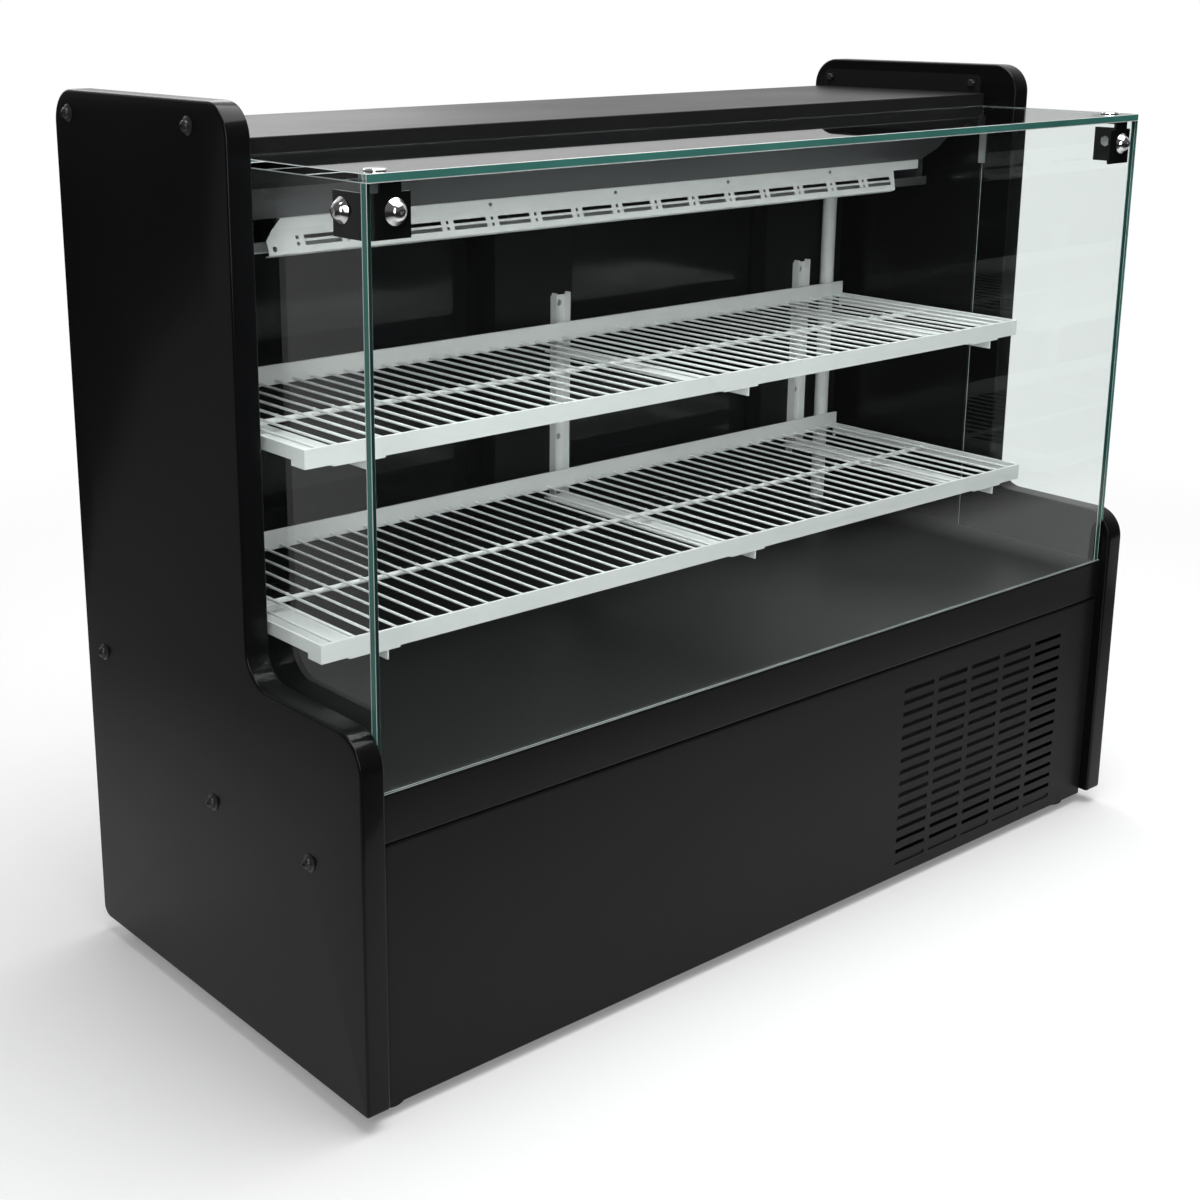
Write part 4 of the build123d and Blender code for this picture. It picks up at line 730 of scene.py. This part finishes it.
def face_light(name, power, size, place, target):
    """A large soft lamp at a place, turned to a target."""
    data = bpy.data.lights.new(name, "AREA")
    data.shape = "RECTANGLE"
    data.size, data.size_y = size
    data.energy = power
    lamp = bpy.data.objects.new(name, data)
    lamp.location = place
    lamp.rotation_euler = (Vector(target) - Vector(place)).to_track_quat("-Z", "Y").to_euler()
    bpy.context.scene.collection.objects.link(lamp)


def blend_value(tree, operation, first, second):
    """Two values put together; a plain number may stand for the second."""
    node = tree.nodes.new("ShaderNodeMath")
    node.operation = operation
    for socket, value in zip(node.inputs, (first, second)):
        if isinstance(value, (int, float)):
            socket.default_value = value
        else:
            tree.links.new(value, socket)
    return node.outputs["Value"]


def shown(tree, dim, shows, mirrored):
    """A surface that camera and glass see in full, gloss by the given share, and lit surfaces dimly.

    Light that has met a lit or a glossy surface first keeps to the dim level, so that the
    background doesn't light the inside of the case through its panes.
    """
    path = tree.nodes.new("ShaderNodeLightPath").outputs
    unlit = tree.nodes.new("ShaderNodeEmission")
    unlit.inputs["Strength"].default_value = UNLIT
    before_lit = blend_value(tree, "LESS_THAN", path["Diffuse Depth"], 0.5)
    before_gloss = blend_value(tree, "LESS_THAN", path["Glossy Depth"], 0.5)
    seen = blend_value(tree, "MAXIMUM", path["Is Camera Ray"], path["Is Transmission Ray"])
    direct = blend_value(tree, "MULTIPLY", seen, before_gloss)
    polish = blend_value(tree, "MAXIMUM", seen, path["Is Glossy Ray"])
    gloss = mixed(tree, mirrored, unlit.outputs["Emission"], shows)
    view = mixed(tree, direct, gloss, shows)
    return mixed(tree, blend_value(tree, "MULTIPLY", polish, before_lit), dim, view)


def mixed(tree, factor, first, second):
    """One shader turning into another by a factor."""
    mix = tree.nodes.new("ShaderNodeMixShader")
    tree.links.new(factor, mix.inputs["Fac"])
    tree.links.new(first, mix.inputs[1])
    tree.links.new(second, mix.inputs[2])
    return mix.outputs["Shader"]


def axes_of(tree, place):
    """The X, Y and Z of a place or direction."""
    split = tree.nodes.new("ShaderNodeSeparateXYZ")
    tree.links.new(place, split.inputs[0])
    return split.outputs


def toward(tree, way, target):
    """How far a direction points along the target one, from -1 to 1."""
    node = tree.nodes.new("ShaderNodeVectorMath")
    node.operation = "DOT_PRODUCT"
    node.inputs[1].default_value = target
    tree.links.new(way, node.inputs[0])
    return node.outputs["Value"]


def distance(tree, place):
    """How far a place is from the middle."""
    node = tree.nodes.new("ShaderNodeVectorMath")
    node.operation = "LENGTH"
    tree.links.new(place, node.inputs[0])
    return node.outputs["Value"]


def heading(tree, place):
    """The direction of a place from the middle."""
    node = tree.nodes.new("ShaderNodeVectorMath")
    node.operation = "NORMALIZE"
    tree.links.new(place, node.inputs[0])
    return node.outputs["Vector"]


def make_world(level):
    """Plain surroundings: a white backdrop behind the case, and dim light on it from all round."""
    world = bpy.data.worlds.new("studio")
    world.use_nodes = True
    tree = world.node_tree
    dim = tree.nodes["Background"]
    dim.inputs["Color"].default_value = (1, 1, 1, 1)
    dim.inputs["Strength"].default_value = level
    white = tree.nodes.new("ShaderNodeBackground")
    white.inputs["Color"].default_value = (1, 1, 1, 1)
    white.inputs["Strength"].default_value = 1.0
    way = tree.nodes.new("ShaderNodeTexCoord").outputs["Generated"]
    behind = spread(tree, toward(tree, way, BACKDROP_WAY), *BACKDROP_SIDE)
    risen = spread(tree, axes_of(tree, way)["Z"], *BACKDROP_RISE)
    share = blend_value(tree, "MULTIPLY", behind, risen)
    surface = shown(tree, dim.outputs["Background"], white.outputs["Background"], share)
    tree.links.new(surface, tree.nodes["World Output"].inputs["Surface"])
    bpy.context.scene.world = world


def floor_sheen(tree, coords):
    """How strongly gloss and glass mirror the floor: most near the case, least before its left half."""
    axes = axes_of(tree, coords)
    before_left = blend_value(tree, "MULTIPLY", spread(tree, axes["Y"], *SHEEN_AHEAD),
                              spread(tree, axes["X"], *SHEEN_LEFT))
    near = blend_value(tree, "MULTIPLY", spread(tree, distance(tree, coords), *SHEEN_NEAR),
                       spread(tree, before_left, *SHEEN_KEPT))
    rightward = blend_value(tree, "ADD", spread(tree, axes["X"], *SHEEN_RIGHT),
                            spread(tree, axes["X"], *SHEEN_FAR_RIGHT))
    band = blend_value(tree, "MULTIPLY", rightward, spread(tree, axes["Y"], *SHEEN_BAND))
    beside = spread(tree, toward(tree, heading(tree, coords), SHEEN_WAY), *SHEEN_BESIDE)
    return blend_value(tree, "MAXIMUM", blend_value(tree, "MAXIMUM", near, band), beside)


def make_floor():
    """A wide pale floor that keeps the case's shadow and turns plain white further out."""
    mesh = bpy.data.meshes.new("floor")
    corners = [(x * FLOOR_HALF, y * FLOOR_HALF, 0) for x, y in ((-1, -1), (1, -1), (1, 1), (-1, 1))]
    mesh.from_pydata(corners, [], [(0, 1, 2, 3)])
    floor = bpy.data.objects.new("floor", mesh)
    bpy.context.scene.collection.objects.link(floor)
    material, tree, shader, coords = finish("floor_white", FLOOR_WHITE, FLOOR_ROUGHNESS)
    shader.inputs["Specular IOR Level"].default_value = FLOOR_GLOSS
    glow = tree.nodes.new("ShaderNodeEmission")
    glow.inputs["Strength"].default_value = FLOOR_GLOW
    both = tree.nodes.new("ShaderNodeAddShader")
    tree.links.new(shader.outputs["BSDF"], both.inputs[0])
    tree.links.new(glow.outputs["Emission"], both.inputs[1])
    plain = tree.nodes.new("ShaderNodeEmission")
    plain.inputs["Strength"].default_value = 1.0
    out = spread(tree, distance(tree, coords), *FLOOR_FADE)
    shows = mixed(tree, out, both.outputs["Shader"], plain.outputs["Emission"])
    dim = tree.nodes.new("ShaderNodeBsdfDiffuse")
    dim.inputs["Color"].default_value = FLOOR_DIM
    surface = shown(tree, dim.outputs["BSDF"], shows, floor_sheen(tree, coords))
    tree.links.new(surface, tree.nodes["Material Output"].inputs["Surface"])
    mesh.materials.append(material)


def make_camera():
    """The camera at the photograph's place, direction and lens."""
    data = bpy.data.cameras.new("camera")
    data.sensor_width = SENSOR
    data.lens = FOCAL_PIXELS / FRAME_PIXELS * data.sensor_width
    data.shift_x = 0.5 - AXIS_PIXEL[0] / FRAME_PIXELS
    data.shift_y = AXIS_PIXEL[1] / FRAME_PIXELS - 0.5
    pan, tilt, roll = (math.radians(angle) for angle in (CAMERA_PAN, CAMERA_TILT, CAMERA_ROLL))
    ahead = Vector((math.sin(pan) * math.cos(tilt), math.cos(pan) * math.cos(tilt), math.sin(tilt)))
    right = Vector((math.cos(pan), -math.sin(pan), 0))
    up = right.cross(ahead)
    side = right * math.cos(roll) + up * math.sin(roll)
    top = up * math.cos(roll) - right * math.sin(roll)
    camera = bpy.data.objects.new("camera", data)
    turn = Matrix((side, top, -ahead)).transposed().to_4x4()
    camera.matrix_world = Matrix.Translation(CAMERA_PLACE) @ turn
    bpy.context.scene.collection.objects.link(camera)
    bpy.context.scene.camera = camera


class CASE_OT_studio(bpy.types.Operator):
    """Set up the camera, the pale floor, the lamps and the surroundings."""

    bl_idname = "case.studio"
    bl_label = "Set up the studio"

    def execute(self, context):
        light = context.scene.case_light
        context.scene.view_settings.view_transform = "Standard"
        make_camera()
        make_world(light.surround)
        make_floor()
        for name, (power, size, place, target) in LAMPS.items():
            face_light(name, getattr(light, power), size, place, target)
        return {"FINISHED"}


class CASE_PT_panel(bpy.types.Panel):
    """The case's sizes, colours and making steps."""

    bl_label = "Display Case"
    bl_idname = "CASE_PT_panel"
    bl_space_type = "VIEW_3D"
    bl_region_type = "UI"
    bl_category = "Display Case"

    def draw(self, context):
        for group in GROUPS:
            box = self.layout.box()
            for name in GROUPS[group].__annotations__:
                box.prop(getattr(context.scene, group), name)
        for step in STEPS:
            self.layout.operator(step.bl_idname)


STEPS = (CASE_OT_studio, CASE_OT_finish_solids, CASE_OT_foam_edge, CASE_OT_shelf_wires)
CLASSES = (*GROUPS.values(), *STEPS, CASE_PT_panel)


def register():
    for cls in CLASSES:
        bpy.utils.register_class(cls)
    for name, group in GROUPS.items():
        setattr(bpy.types.Scene, name, bpy.props.PointerProperty(type=group))


def unregister():
    for name in GROUPS:
        delattr(bpy.types.Scene, name)
    for cls in reversed(CLASSES):
        bpy.utils.unregister_class(cls)


def main():
    register()
    for step in STEPS:
        group, name = step.bl_idname.split(".")
        getattr(getattr(bpy.ops, group), name)()


if __name__ == "__main__":
    main()
